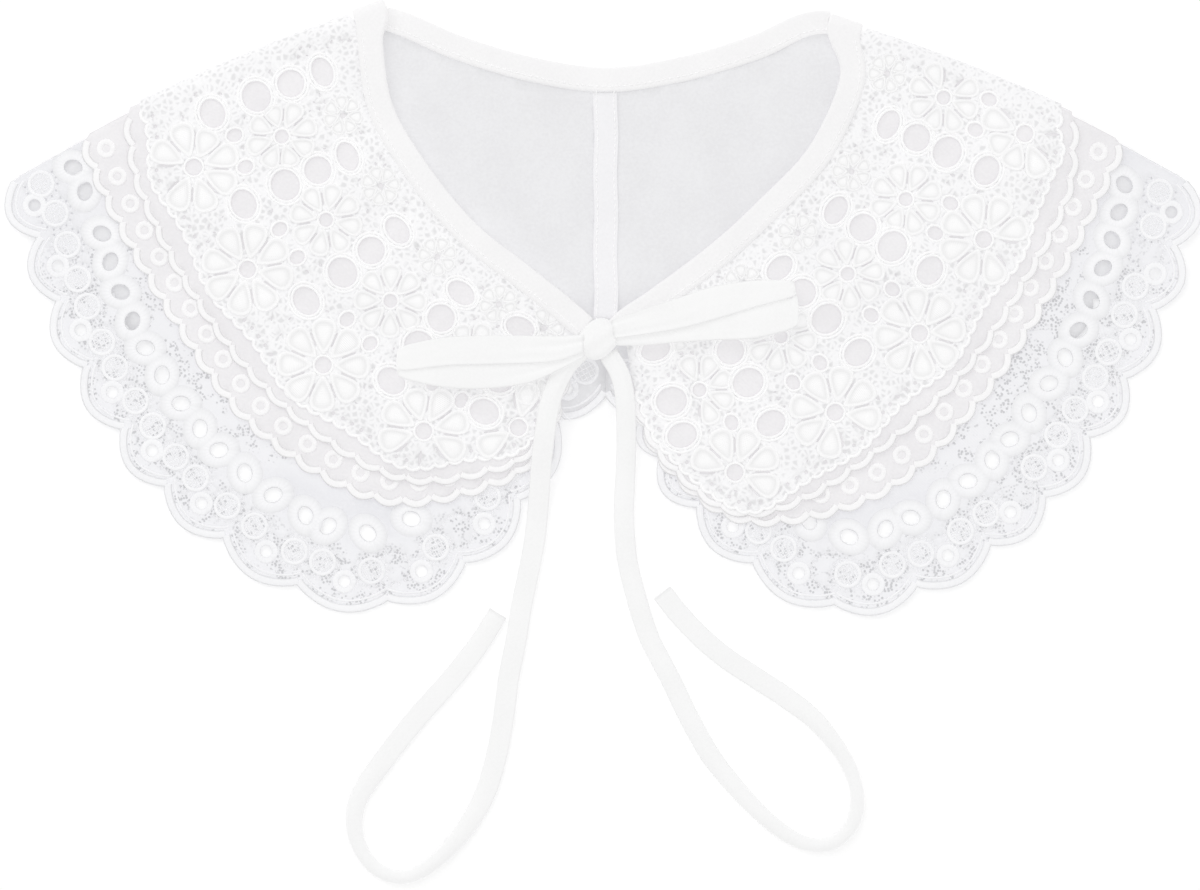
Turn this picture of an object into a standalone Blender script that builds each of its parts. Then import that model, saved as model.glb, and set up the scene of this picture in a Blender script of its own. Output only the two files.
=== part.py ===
"""Lace shawl collar laid flat, folded over at the shoulders and tied with a ribbon bow.

Plan positions and sizes are in millimetres, +X to the collar's left-to-right, +Y towards the back neck, +Z up.
Every solid is scaled to metres as its mesh is made. Each cloth layer is a wall CLOTH thick. The fronts lie on
the back, and all layers of one half bend round the same shoulder line, each outside the one before it.
"""
import math
from collections import namedtuple

import bpy
import numpy as np
from mathutils import Vector
from mathutils.geometry import delaunay_2d_cdt

MM = 0.001
CENTRE_X = -1.112       # moves the whole collar, so that its box is centred on the origin
CENTRE_Y = -0.682

CLOTH = 1.0             # thickness of each cloth wall
GAP = 0.3               # between layers and at seams
LAYER = CLOTH + GAP

# A guide line runs from the neck to the hem. A front has one for each repeat of the flower lace, the first
# along the shoulder fold. lace, narrow and ring say how far down it each tier's edge lies, as a share of it.
Guide = namedtuple("Guide", "neck_x neck_y hem_x hem_y lace narrow ring")
LEFT_FRONT = (
    Guide(-93.5, 111.0, -227.5, 49.5, 0.618, 0.651, 0.780),
    Guide(-89.0, 78.5, -219.5, 33.0, 0.636, 0.680, 0.775),
    Guide(-75.5, 53.5, -197.5, -22.5, 0.610, 0.655, 0.730),
    Guide(-55.0, 28.0, -162.0, -73.0, 0.597, 0.635, 0.725),
    Guide(-34.0, 11.0, -104.5, -107.5, 0.596, 0.635, 0.708),
    Guide(-20.0, 0.0, -42.0, -85.0, 0.646, 0.700, 0.760),
    Guide(-13.5, -5.5, -21.5, -54.5, 0.740, 0.800, 0.860),
    Guide(-9.5, -9.0, -13.5, -24.5, 0.800, 0.850, 0.900),
)
RIGHT_FRONT = (
    Guide(99.0, 105.5, 227.0, 49.5, 0.606, 0.640, 0.787),
    Guide(100.5, 86.5, 224.0, 29.5, 0.610, 0.655, 0.740),
    Guide(87.5, 58.0, 211.5, -5.5, 0.595, 0.640, 0.713),
    Guide(67.5, 36.5, 182.5, -57.5, 0.593, 0.633, 0.708),
    Guide(48.5, 19.0, 134.0, -99.5, 0.605, 0.640, 0.735),
    Guide(24.5, 1.0, 69.5, -103.0, 0.750, 0.765, 0.790),
    Guide(14.0, -6.0, 26.0, -63.0, 0.880, 0.905, 0.930),
    Guide(9.5, -10.0, 13.5, -36.0, 0.880, 0.905, 0.930),
)
# The back, from the left shoulder fold across to the right one.
BackGuide = namedtuple("BackGuide", "neck_x neck_y hem_x hem_y")
BACK = (
    BackGuide(-93.5, 111.0, -227.5, 49.5),
    BackGuide(-77.0, 106.5, -191.0, 10.0),
    BackGuide(-56.0, 97.5, -137.0, -26.5),
    BackGuide(-27.0, 89.0, -69.5, -42.0),
    BackGuide(2.0, 85.0, 2.0, -32.5),
    BackGuide(31.5, 89.0, 73.0, -44.5),
    BackGuide(60.5, 97.5, 140.5, -29.5),
    BackGuide(81.5, 106.5, 194.0, 8.0),
    BackGuide(99.0, 105.5, 227.0, 49.5),
)
CENTRE_BACK = 4                      # row of BACK that is the centre-back seam
FOLD_BOW = 3.6                       # how far the shoulder line bows out of straight

# Corners between the border scallops, from the shoulder tip to the front edge.
Notch = namedtuple("Notch", "x y")
LEFT_NOTCHES = (
    Notch(-227.5, 49.5), Notch(-217.3, 28.5), Notch(-210.0, 3.9), Notch(-199.6, -21.6), Notch(-185.0, -45.4),
    Notch(-168.4, -67.4), Notch(-145.7, -87.4), Notch(-117.2, -105.5), Notch(-82.2, -111.7), Notch(-52.2, -97.0),
    Notch(-31.0, -72.8), Notch(-16.4, -42.7), Notch(-13.5, -24.5),
)
RIGHT_NOTCHES = (
    Notch(227.0, 49.5), Notch(222.3, 25.4), Notch(214.3, 0.8), Notch(203.1, -25.8), Notch(188.8, -48.5),
    Notch(171.9, -71.6), Notch(150.7, -90.1), Notch(122.2, -106.3), Notch(90.3, -113.2), Notch(58.7, -97.0),
    Notch(37.2, -75.5), Notch(22.9, -56.2), Notch(15.2, -41.2), Notch(13.5, -36.0),
)
SCALLOP_DEPTH = 7.5
BACK_SCALLOP_WIDTH = 30.0
RING_SCALLOP_WIDTH, RING_SCALLOP_DEPTH = 11.6, 2.6
NARROW_SCALLOP_WIDTH, NARROW_SCALLOP_DEPTH = 11.0, 2.0
LACE_EDGE_WAVE = 1.6                 # the lace edge swells round each large daisy

# Eyelets of the border, per scallop: a round one near the edge and two oval ones further in.
Eyelet = namedtuple("Eyelet", "along inward length width turn")
EYELETS = (
    Eyelet(0.0, 4.4, 4.6, 4.6, 0.0),
    Eyelet(-0.28, 24.3, 7.7, 5.4, 52.0),
    Eyelet(0.16, 24.3, 7.7, 5.4, -38.0),
)
EYELET_SIDES = 8

# Flower lace, per repeat. Depths are shares of the way from the neck to the lace edge.
Daisy = namedtuple("Daisy", "depth radius hole")
DAISIES = (Daisy(0.795, 18.2, 2.4), Daisy(0.395, 14.4, 2.2))
PETALS = 8
PETAL_RISE = 0.9
NetHole = namedtuple("NetHole", "depth length width")
NET_OVALS = (NetHole(0.690, 11.5, 9.6), NetHole(0.485, 12.0, 11.0), NetHole(0.325, 10.6, 10.4),
             NetHole(0.178, 11.5, 8.0))
SMALL_HOLE = NetHole(0.585, 6.2, 5.2)
SMALL_HOLE_SIDESTEP = 6.4
LEFT_DAISY_LINES = (1.0, 2.0, 3.0, 4.0, 5.0)
RIGHT_DAISY_LINES = (0.3, 2.0, 3.0, 4.0, 5.0)
LEFT_NET_LINES = (0.42, 1.5, 2.5, 3.5, 4.5)
RIGHT_NET_LINES = (1.15, 2.5, 3.5, 4.5, 5.55)

# Heights. z_fold is the middle of the shoulder fold, between front and back. It steps down where each tier
# of the back ends, at these shares of the back's guide lines.
Level = namedtuple("Level", "share z_fold")
LEVELS = (Level(0.665, 5.35), Level(0.715, 2.75), Level(0.800, 2.75), Level(0.850, 1.15))
HEM_CLEAR, HEM_LAID = 1.060, 1.130   # the fronts come down to the surface between these, past the back's hem
HALF_GAP = GAP / 2

BINDING_WIDTH = 8.9
BINDING_RISE = 0.5                   # it stands this much above the cloth that it binds
BINDING_TO_KNOT = 1.1                # it runs on this far past the cloth's corner
SEAM_WIDTH = 9.2
SEAM_TOP_Y, SEAM_END_Y = 84.0, 6.0
SHEER = ("organza", (0.86, 0.86, 0.88, 1.0), 0.75)
COTTON = ("cotton_lace", (0.90, 0.90, 0.89, 1.0), 0.85)
RIBBON = ("ribbon", (0.88, 0.88, 0.87, 1.0), 0.6)

# Ribbon bow and tails.
RIBBON_WIDTH = 8.0
RIBBON_THICK = 1.0
KNOT_CENTRE = (-0.5, -10.5)
KNOT_RADII = (6.0, 7.0)
KNOT_Z = (5.6, 15.6)
KNOT_SWELL = (0.75, 0.92, 1.0, 1.0, 0.97, 0.72)     # share of its radii, from its foot to its top
# Routes of the tails: x, y, and the height of the ribbon's underside.
LEFT_TAIL = (
    (-6.35, -14.3, 8.8), (-13.5, -22.0, 8.4), (-19.0, -34.0, 7.6), (-21.5, -48.0, 7.2), (-23.0, -61.0, 3.8),
    (-24.0, -75.0, 0.9), (-25.5, -89.0, 0.2), (-28.0, -102.0, 0.2), (-30.5, -114.0, 0.2), (-32.5, -126.5, 0.2),
    (-35.5, -142.0, 0.2), (-37.5, -157.5, 0.2), (-40.5, -173.0, 0.2), (-45.5, -188.5, 0.2), (-55.0, -203.5, 0.2),
    (-66.5, -214.5, 0.2), (-77.0, -218.5, 0.2), (-87.5, -214.5, 0.2), (-94.0, -204.5, 0.2), (-95.0, -194.0, 0.2),
    (-91.5, -184.5, 0.2), (-82.0, -171.0, 0.2), (-70.5, -156.5, 0.2), (-57.5, -142.0, 0.2), (-47.0, -128.5, 0.2),
    (-39.5, -116.5, 0.2),
)
RIGHT_TAIL = (
    (2.95, -16.5, 8.8), (7.5, -24.5, 8.2), (9.5, -34.5, 7.4), (10.0, -49.5, 3.6), (9.5, -65.0, 1.0),
    (9.0, -77.0, 0.2), (9.5, -88.0, 0.2), (10.5, -97.0, 0.2), (13.0, -107.5, 0.2), (16.0, -118.0, 0.2),
    (19.5, -127.5, 0.2), (27.0, -142.0, 0.2), (34.5, -157.5, 0.2), (43.5, -173.0, 0.2), (56.5, -188.5, 0.2),
    (69.0, -200.0, 0.2), (79.5, -205.5, 0.2), (89.0, -205.5, 0.2), (96.0, -200.0, 0.2), (99.0, -192.0, 0.2),
    (98.5, -183.0, 0.2), (94.0, -172.0, 0.2), (83.5, -158.5, 0.2), (71.5, -149.0, 0.2), (60.0, -141.5, 0.2),
    (48.0, -133.5, 0.2), (38.0, -125.0, 0.2), (29.8, -116.2, 0.2), (23.8, -108.6, 0.2),
)
TAIL_STEP = 9.5                      # distance between the tail's sections


def smooth_row(rows, s):
    """All the numbers of a table at the row position s, smoothly between its rows."""
    table = np.asarray(rows, float)
    last = len(table) - 1
    s = min(max(s, 0.0), float(last))
    i = min(int(s), last - 1)
    f = s - i
    before = table[i - 1] if i > 0 else 2 * table[0] - table[1]
    after = table[i + 2] if i + 2 <= last else 2 * table[last] - table[last - 1]
    a, b = table[i], table[i + 1]
    return 0.5 * (2 * a + (b - before) * f + (2 * before - 5 * a + 4 * b - after) * f * f
                  + (3 * a - before - 3 * b + after) * f ** 3)


def on_guide(rows, s, share):
    """The plan point a share of the way down the guide line at s; the line at a fold bows outwards."""
    row = smooth_row(rows, s)
    neck, hem = row[0:2], row[2:4]
    point = neck + (hem - neck) * share
    fold_rows = [0.0]
    if len(rows[0]) == 4:
        fold_rows.append(float(len(rows) - 1))
    for fold in fold_rows:
        near = max(0.0, 1.0 - abs(s - fold))
        if near > 0.0:
            way = hem - neck
            side = np.array((way[1], -way[0])) / np.hypot(*way)
            if side[1] < 0:
                side = -side
            point = point + side * FOLD_BOW * near ** 2 * 4 * share * (1 - share)
    return point


def fold_normal(rows, share):
    """Outward direction of the shoulder line in plan."""
    ahead = on_guide(rows, 0.0, share + 0.01) - on_guide(rows, 0.0, share - 0.01)
    normal = np.array((ahead[1], -ahead[0])) / np.hypot(*ahead)
    return normal if normal[1] > 0 else -normal


def z_fold_at(share):
    """Height of the fold's middle, by the back's share."""
    return float(np.interp(share, [level.share for level in LEVELS], [level.z_fold for level in LEVELS]))


NECK_MIDDLE = np.array((0.0, 60.0))


def line_of(rows, share_of_s, s_start, s_end, step):
    """Points along s, about step apart, at the share that share_of_s gives."""
    fine = [on_guide(rows, s, share_of_s(s)) for s in np.linspace(s_start, s_end, 400)]
    return resample(fine, step)


def resample(points, step):
    points = np.asarray(points, float)
    lengths = np.hypot(*np.diff(points, axis=0).T)
    total = np.concatenate(([0.0], np.cumsum(lengths)))
    count = max(2, int(round(total[-1] / step)) + 1)
    at = np.linspace(0.0, total[-1], count)
    return [np.array([np.interp(d, total, points[:, k]) for k in range(points.shape[1])]) for d in at]


def scalloped(notches, depth, sides):
    """Scallops that swell away from the neck between each two notches. Returns the edge and each one's frame."""
    edge, frames = [], []
    for start, end in zip(notches[:-1], notches[1:]):
        start, end = np.array(start), np.array(end)
        width = np.hypot(*(end - start))
        along = (end - start) / width
        out = np.array((along[1], -along[0]))
        middle = (start + end) / 2
        if np.dot(out, middle - NECK_MIDDLE) < 0:
            out = -out
        frames.append((middle, along, out, width))
        swell = depth * min(1.0, width / (3.2 * depth))
        for k in range(sides):
            u = k / sides
            edge.append(start + (end - start) * u + out * swell * math.sin(math.pi * u) ** 0.8)
    edge.append(np.array(notches[-1]))
    return edge, frames


def ellipse(centre, length, width, angle, sides):
    turn = np.array(((math.cos(angle), -math.sin(angle)), (math.sin(angle), math.cos(angle))))
    ring = []
    for k in range(sides):
        a = 2 * math.pi * (k + 0.5) / sides
        ring.append(centre + turn @ np.array((length / 2 * math.cos(a), width / 2 * math.sin(a))))
    return ring


def inside(points, polygon):
    """Even-odd test of many points against one polygon."""
    points = np.atleast_2d(points)
    polygon = np.asarray(polygon, float)
    ax, ay = polygon[:, 0], polygon[:, 1]
    bx, by = np.roll(ax, -1), np.roll(ay, -1)
    x, y = points[:, 0:1], points[:, 1:2]
    crosses = (ay > y) != (by > y)
    rise = np.where(by == ay, 1e-12, by - ay)
    hits = crosses & (x < (bx - ax) * (y - ay) / rise + ax)
    return np.count_nonzero(hits, axis=1) % 2 == 1


def distance_to_line(points, line, closed=False):
    """Distance of many points to a polyline."""
    points = np.atleast_2d(points)
    line = np.asarray(line, float)
    a = line
    b = np.roll(line, -1, axis=0)
    if not closed:
        a, b = a[:-1], b[:-1]
    way = b - a
    size = np.maximum((way ** 2).sum(axis=1), 1e-12)
    rel = points[:, None, :] - a[None]
    t = np.clip((rel * way[None]).sum(axis=2) / size, 0, 1)
    near = rel - t[..., None] * way[None]
    return np.sqrt((near ** 2).sum(axis=2)).min(axis=1)


# Lines across the whole back at which the height changes, and the height of the cloth's middle plane there.
BACK_LAST = float(len(BACK) - 1)


def back_line(share):
    return [on_guide(BACK, s, share) for s in np.linspace(0.0, BACK_LAST, 25)]


LEVEL_LINES = [(back_line(level.share), level.z_fold) for level in LEVELS]
HEM_LINES = [(back_line(HEM_CLEAR), LEVELS[-1].z_fold), (back_line(HEM_LAID), -HALF_GAP)]
FAR_UP = 400.0


def fold_height(points, lines):
    """Height of the plane between front and back, stepping down from line to line."""
    points = np.atleast_2d(np.asarray(points, float))
    height = np.full(len(points), lines[-1][1])
    was_in = np.zeros(len(points), bool)
    for k, (line, z) in enumerate(lines):
        polygon = list(line) + [np.array((line[-1][0], FAR_UP)), np.array((line[0][0], FAR_UP))]
        apart = distance_to_line(points, line)
        now_in = inside(points, polygon) | (apart < 1e-4)
        fresh = now_in & ~was_in
        if k == 0:
            height[fresh] = z
        else:
            before = distance_to_line(points, lines[k - 1][0])
            share = before / np.maximum(before + apart, 1e-9)
            z_before = lines[k - 1][1]
            height[fresh] = (z_before + (z - z_before) * share)[fresh]
        was_in |= now_in
    return height


class Solid:
    """Collects triangles by their corners and welds equal corners."""

    def __init__(self):
        self.points = []
        self.faces = []
        self.cells = {}

    def corner(self, p):
        cell = tuple(int(math.floor(c * 100)) for c in p)
        for dx in (-1, 0, 1):
            for dy in (-1, 0, 1):
                for dz in (-1, 0, 1):
                    for i in self.cells.get((cell[0] + dx, cell[1] + dy, cell[2] + dz), ()):
                        if max(abs(self.points[i][k] - p[k]) for k in range(3)) < 0.004:
                            return i
        self.points.append(tuple(float(c) for c in p))
        self.cells.setdefault(cell, []).append(len(self.points) - 1)
        return len(self.points) - 1

    def face(self, *corners):
        ids = [self.corner(p) for p in corners]
        ids = [i for k, i in enumerate(ids) if i != ids[k - 1]]
        if len(set(ids)) == len(ids) and len(ids) >= 3:
            self.faces.append(ids)

    def sweep(self, rings, capped=True):
        """Joins rings of equal count, each seen anticlockwise from its front end."""
        for a, b in zip(rings[:-1], rings[1:]):
            count = len(a)
            for k in range(count):
                j = (k + 1) % count
                if math.dist(a[j], b[k]) < math.dist(a[k], b[j]):
                    self.face(a[k], a[j], b[k])
                    self.face(a[j], b[j], b[k])
                else:
                    self.face(a[k], a[j], b[j])
                    self.face(a[k], b[j], b[k])
        if capped:
            self.face(*reversed(rings[0]))
            self.face(*rings[-1])

    def make(self, name, finish):
        mesh = bpy.data.meshes.new(name)
        mesh.from_pydata([((x + CENTRE_X) * MM, (y + CENTRE_Y) * MM, z * MM) for x, y, z in self.points],
                         [], self.faces)
        mesh.update()
        item = bpy.data.objects.new(name, mesh)
        bpy.context.scene.collection.objects.link(item)
        label, colour, roughness = finish
        material = bpy.data.materials.new(name + "_" + label)
        material.use_nodes = True
        shader = material.node_tree.nodes["Principled BSDF"]
        shader.inputs["Base Color"].default_value = colour
        shader.inputs["Roughness"].default_value = roughness
        mesh.materials.append(material)
        print(name, "triangles", sum(len(face) - 2 for face in self.faces))
        return item


def cut_cloth(outline, holes=(), creases=(), figures=()):
    """Triangles of a flat piece. Creases are lines that it bends along; figures are lines drawn on it."""
    points, edges = [], []

    def add(line, closed):
        start = len(points)
        points.extend(Vector((float(p[0]), float(p[1]))) for p in line)
        count = len(line)
        edges.extend((start + k, start + k + 1) for k in range(count - 1))
        if closed:
            edges.append((start + count - 1, start))

    add(outline, True)
    for hole in holes:
        add(hole, True)
    for crease in creases:
        add(crease, False)
    for figure in figures:
        add(figure, len(figure) > 2)
    corners, _, faces, _, _, _ = delaunay_2d_cdt(points, edges, [], 0, 1e-4)
    corners = np.array([(c.x, c.y) for c in corners])
    faces = np.array(faces)
    middles = corners[faces].mean(axis=1)
    kept = inside(middles, outline)
    for hole in holes:
        low, high = np.min(hole, axis=0), np.max(hole, axis=0)
        near = np.all((middles > low) & (middles < high), axis=1)
        kept[near] &= ~inside(middles[near], hole)
    faces = faces[kept]
    a, b, c = corners[faces[:, 0]], corners[faces[:, 1]], corners[faces[:, 2]]
    area = (b - a)[:, 0] * (c - a)[:, 1] - (b - a)[:, 1] * (c - a)[:, 0]
    faces[area < 0] = faces[area < 0][:, ::-1]
    return corners, faces[np.abs(area) > 1e-5]


def rim(faces):
    """Directed edges that only one triangle uses."""
    once = {}
    for a, b, c in faces:
        for edge in ((a, b), (b, c), (c, a)):
            once[edge] = True
    return [edge for edge in once if (edge[1], edge[0]) not in once]


def add_wall(solid, top_cut, top_z, low_cut, low_z, open_line):
    """Upper face, lower face and side walls; the sides along open_line are left for the fold."""
    corners, faces = top_cut
    for a, b, c in faces:
        solid.face(*((*corners[i], top_z[i]) for i in (a, b, c)))
    low_corners, low_faces = low_cut
    for a, b, c in low_faces:
        solid.face(*((*low_corners[i], low_z[i]) for i in (c, b, a)))
    low_rim = rim(low_faces)
    on_fold = distance_to_line(low_corners, open_line) < 2e-3
    upper = {}
    for a, b in rim(faces):
        upper[tuple(np.round(corners[a], 2))] = top_z[a]
        upper[tuple(np.round(corners[b], 2))] = top_z[b]
    for a, b in low_rim:
        if on_fold[a] and on_fold[b]:
            continue
        za = upper[tuple(np.round(low_corners[a], 2))]
        zb = upper[tuple(np.round(low_corners[b], 2))]
        pa, pb = low_corners[a], low_corners[b]
        solid.face((*pa, low_z[a]), (*pb, low_z[b]), (*pb, zb))
        solid.face((*pa, low_z[a]), (*pb, zb), (*pa, za))


FOLD_SIDES = 4
LIP = 3.0                            # the tiers run this far in under the fold


def add_fold(solid, rows, shares, r_in, r_out, lip):
    """The half turn round the shoulder line, and with lip a short run underneath. Shares start at the neck."""
    rings = []
    for share in shares:
        centre = on_guide(rows, 0.0, share)
        out = fold_normal(rows, share)
        middle = z_fold_at(share)
        outer = [(*(centre + out * r_out * math.sin(math.pi * k / FOLD_SIDES)),
                  middle + r_out * math.cos(math.pi * k / FOLD_SIDES)) for k in range(FOLD_SIDES + 1)]
        inner = [(*(centre + out * r_in * math.sin(math.pi * k / FOLD_SIDES)),
                  middle + r_in * math.cos(math.pi * k / FOLD_SIDES)) for k in range(FOLD_SIDES + 1)]
        if lip:
            outer.append((*(centre - out * LIP), middle - r_out))
            inner.append((*(centre - out * LIP), middle - r_in))
        rings.append(outer + inner[::-1])
    mirrored = rows[0][0] > 0
    outer_count = len(rings[0]) // 2
    for a, b in zip(rings[:-1], rings[1:]):
        for k in range(len(a) - 1):
            if k == outer_count - 1 and not lip:
                continue
            quad = (a[k], a[k + 1], b[k + 1], b[k])
            if mirrored:
                quad = quad[::-1]
            solid.face(quad[0], quad[1], quad[2])
            solid.face(quad[0], quad[2], quad[3])
    for ring, flip in ((rings[0], mirrored), (rings[-1], not mirrored)):
        for k in range(outer_count - 1):
            quad = (ring[k], ring[-1 - k], ring[-2 - k], ring[k + 1])
            if flip:
                quad = quad[::-1]
            solid.face(quad[0], quad[1], quad[2])
            solid.face(quad[0], quad[2], quad[3])


def fold_shares(end):
    """Places along the shoulder line, with the levels' own among them."""
    regular = [0.0, 0.12, 0.24, 0.36, 0.48, 0.58]
    more = [level.share for level in LEVELS] + [0.90, 0.95]
    shares = [share for share in regular + more if share < end - 0.012]
    return shares + [end]


def tier_share(rows, column):
    """How far down the guide lines a tier reaches, as a function of s."""
    return lambda s: smooth_row(rows, s)[column]


def tier_outline(rows, share_at, edge_of):
    """Outline of a front tier: down the fold, along its edge, up the front edge, along the neck."""
    last = float(len(rows) - 1)
    edge, frames = edge_of(line_of(rows, share_at, 0.0, last, 1.5))
    fold = [on_guide(rows, 0.0, share) for share in fold_shares(share_at(0.0))]
    front = [on_guide(rows, last, share_at(last) * f) for f in (0.66, 0.33)]
    neck = line_of(rows, lambda s: 0.0, 0.0, last, 9.0)[::-1]
    outline = fold[:-1] + edge + front + neck[:-1]
    return outline, frames, fold


def plain_edge(line):
    return resample(line, 6.5), []


def small_scallops(width, depth, sides):
    return lambda line: scalloped(resample(line, width), depth, sides)


def front_heights(corners, layers_below):
    """Underside of a front layer that lies on so many others."""
    return fold_height(corners, LEVEL_LINES + HEM_LINES) + HALF_GAP + LAYER * layers_below


def back_heights(corners):
    """Underside of the back's base leaf."""
    return fold_height(corners, LEVEL_LINES) - HALF_GAP - CLOTH


def creases_in(outline, lines):
    """The stretches of the level lines that run inside an outline."""
    found = []
    for line, _ in lines:
        kept = inside(np.array(line), outline) & (distance_to_line(np.array(line), outline, True) > 0.4)
        run = []
        for k, point in enumerate(line):
            neighbours = kept[max(0, k - 1):k + 2]
            if neighbours.any():
                run.append(point)
            elif run:
                found.append(run)
                run = []
        if run:
            found.append(run)
    return [run for run in found if len(run) > 1]


def fits(ring, outline, margin):
    ring = np.array(ring)
    return bool(inside(ring, outline).all() and distance_to_line(ring, outline, True).min() > margin)


def border_eyelets(frames, outline):
    holes = []
    for middle, along, out, width in frames:
        for eyelet in EYELETS:
            centre = middle + along * eyelet.along * width - out * eyelet.inward
            angle = math.atan2(along[1], along[0]) + math.radians(eyelet.turn)
            hole = ellipse(centre, eyelet.length, eyelet.width, angle, EYELET_SIDES)
            if fits(hole, outline, 1.2) and all(np.hypot(*(centre - np.mean(h, axis=0))) > 9.0 for h in holes):
                holes.append(hole)
    return holes


def make_base(name, rows, notches, back_from, back_to):
    """Base leaf: front and back halves in one, bent round the shoulder line."""
    solid = Solid()
    outline, frames, fold = tier_outline(rows, lambda s: 1.0, lambda line: scalloped(notches, SCALLOP_DEPTH, 7))
    holes = border_eyelets(frames, outline)
    cut = cut_cloth(outline, holes, creases_in(outline, LEVEL_LINES + HEM_LINES))
    low = front_heights(cut[0], 0)
    add_wall(solid, cut, low + CLOTH, cut, low, fold)

    hem_line = [on_guide(BACK, s, 1.0) for s in np.linspace(back_from, back_to, 200)]
    hem, back_frames = scalloped(resample(hem_line, BACK_SCALLOP_WIDTH), SCALLOP_DEPTH, 6)
    side = HALF_GAP if back_to > back_from and name.endswith("left") else -HALF_GAP
    seam = [on_guide(BACK, back_to, share) for share in (1.0, 0.85, 0.80, 0.715, 0.665, 0.35, 0.0)]
    neck = [on_guide(BACK, s, 0.0) for s in np.linspace(back_to, back_from, 10)]
    back = fold[:-1] + hem[:-1] + seam + neck[1:-1]
    near_seam = [abs(p[0] - seam[0][0]) < 0.05 for p in back]
    back = [np.array((p[0] - side, p[1])) if near else p for p, near in zip(back, near_seam)]
    shown = [frame for frame in back_frames[-2:]]
    back_holes = border_eyelets(shown, back)
    back_cut = cut_cloth(back, back_holes, creases_in(back, LEVEL_LINES))
    low = back_heights(back_cut[0])
    add_wall(solid, back_cut, low + CLOTH, back_cut, low, fold)
    add_fold(solid, rows, fold_shares(1.0), HALF_GAP, HALF_GAP + CLOTH, lip=False)
    print(name, "eyelets cut", len(holes), len(back_holes))
    return solid.make(name, SHEER)


def make_tier(name, rows, column, order, edge_of):
    """A plain tier that lies on the leaf and tucks round the shoulder line."""
    solid = Solid()
    outline, _, fold = tier_outline(rows, tier_share(rows, column), edge_of)
    cut = cut_cloth(outline, (), creases_in(outline, LEVEL_LINES + HEM_LINES))
    low = front_heights(cut[0], order)
    add_wall(solid, cut, low + CLOTH, cut, low, fold)
    r_in = HALF_GAP + LAYER * order
    add_fold(solid, rows, fold_shares(smooth_row(rows, 0.0)[column]), r_in, r_in + CLOTH, lip=True)
    return solid.make(name, COTTON)


def daisy_figures(centre, radius, hole, angle):
    """Outline and raised ridge of each petal."""
    petals = []
    for k in range(PETALS):
        a = angle + 2 * math.pi * k / PETALS
        out = np.array((math.cos(a), math.sin(a)))
        side = np.array((-out[1], out[0]))
        base = centre + out * max(hole + 1.2, 0.27 * radius)
        shoulder = centre + out * 0.70 * radius
        tip = centre + out * radius
        outline = [base, shoulder - side * 0.215 * radius, tip, shoulder + side * 0.215 * radius]
        ridge = [centre + out * 0.50 * radius, centre + out * 0.84 * radius]
        petals.append((outline, ridge))
    return petals


def lace_motifs(rows, daisy_lines, net_lines, outline):
    """Openings and petals of the flower lace, placed on the guide lines."""
    holes, petals = [], []

    def share_of_edge(s, depth):
        return smooth_row(rows, s)[4] * depth

    def try_hole(hole):
        ring = np.array(hole)
        clear = all(distance_to_line(ring, other, True).min() > 0.8 for other in holes)
        apart = all(distance_to_line(ring, petal[0], True).min() > 0.5 and
                    not inside(np.array(petal[0]), hole).any() for petal in petals)
        if fits(hole, outline, 1.0) and clear and apart:
            holes.append(hole)

    for s in daisy_lines:
        row = smooth_row(rows, s)
        down = (row[2:4] - row[0:2]) / np.hypot(*(row[2:4] - row[0:2]))
        angle = math.atan2(down[1], down[0])
        for daisy in DAISIES:
            centre = on_guide(rows, s, share_of_edge(s, daisy.depth))
            try_hole(ellipse(centre, 2 * daisy.hole, 2 * daisy.hole, angle, EYELET_SIDES))
            for petal in daisy_figures(centre, daisy.radius, daisy.hole, angle):
                if fits(petal[0], outline, 0.5) and not crowded(petal, petals):
                    petals.append(petal)
        side = np.array((-down[1], down[0]))
        for step in (-1, 1):
            centre = on_guide(rows, s, share_of_edge(s, SMALL_HOLE.depth)) + side * step * SMALL_HOLE_SIDESTEP
            try_hole(ellipse(centre, SMALL_HOLE.length, SMALL_HOLE.width, angle, 6))
    for s in net_lines:
        row = smooth_row(rows, s)
        down = row[2:4] - row[0:2]
        angle = math.atan2(down[1], down[0])
        for oval in NET_OVALS:
            centre = on_guide(rows, s, share_of_edge(s, oval.depth))
            try_hole(ellipse(centre, oval.length, oval.width, angle + math.pi / 2, EYELET_SIDES))
    return holes, petals


def crowded(petal, petals):
    ring = np.array(petal[0])
    for other, _ in petals:
        if np.hypot(*(np.mean(other, axis=0) - ring.mean(axis=0))) > 30.0:
            continue
        if distance_to_line(ring, other, True).min() < 0.3 or inside(ring, other).any():
            return True
        if inside(np.array(other), ring).any() or distance_to_line(np.array(other), ring, True).min() < 0.3:
            return True
    return False


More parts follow.
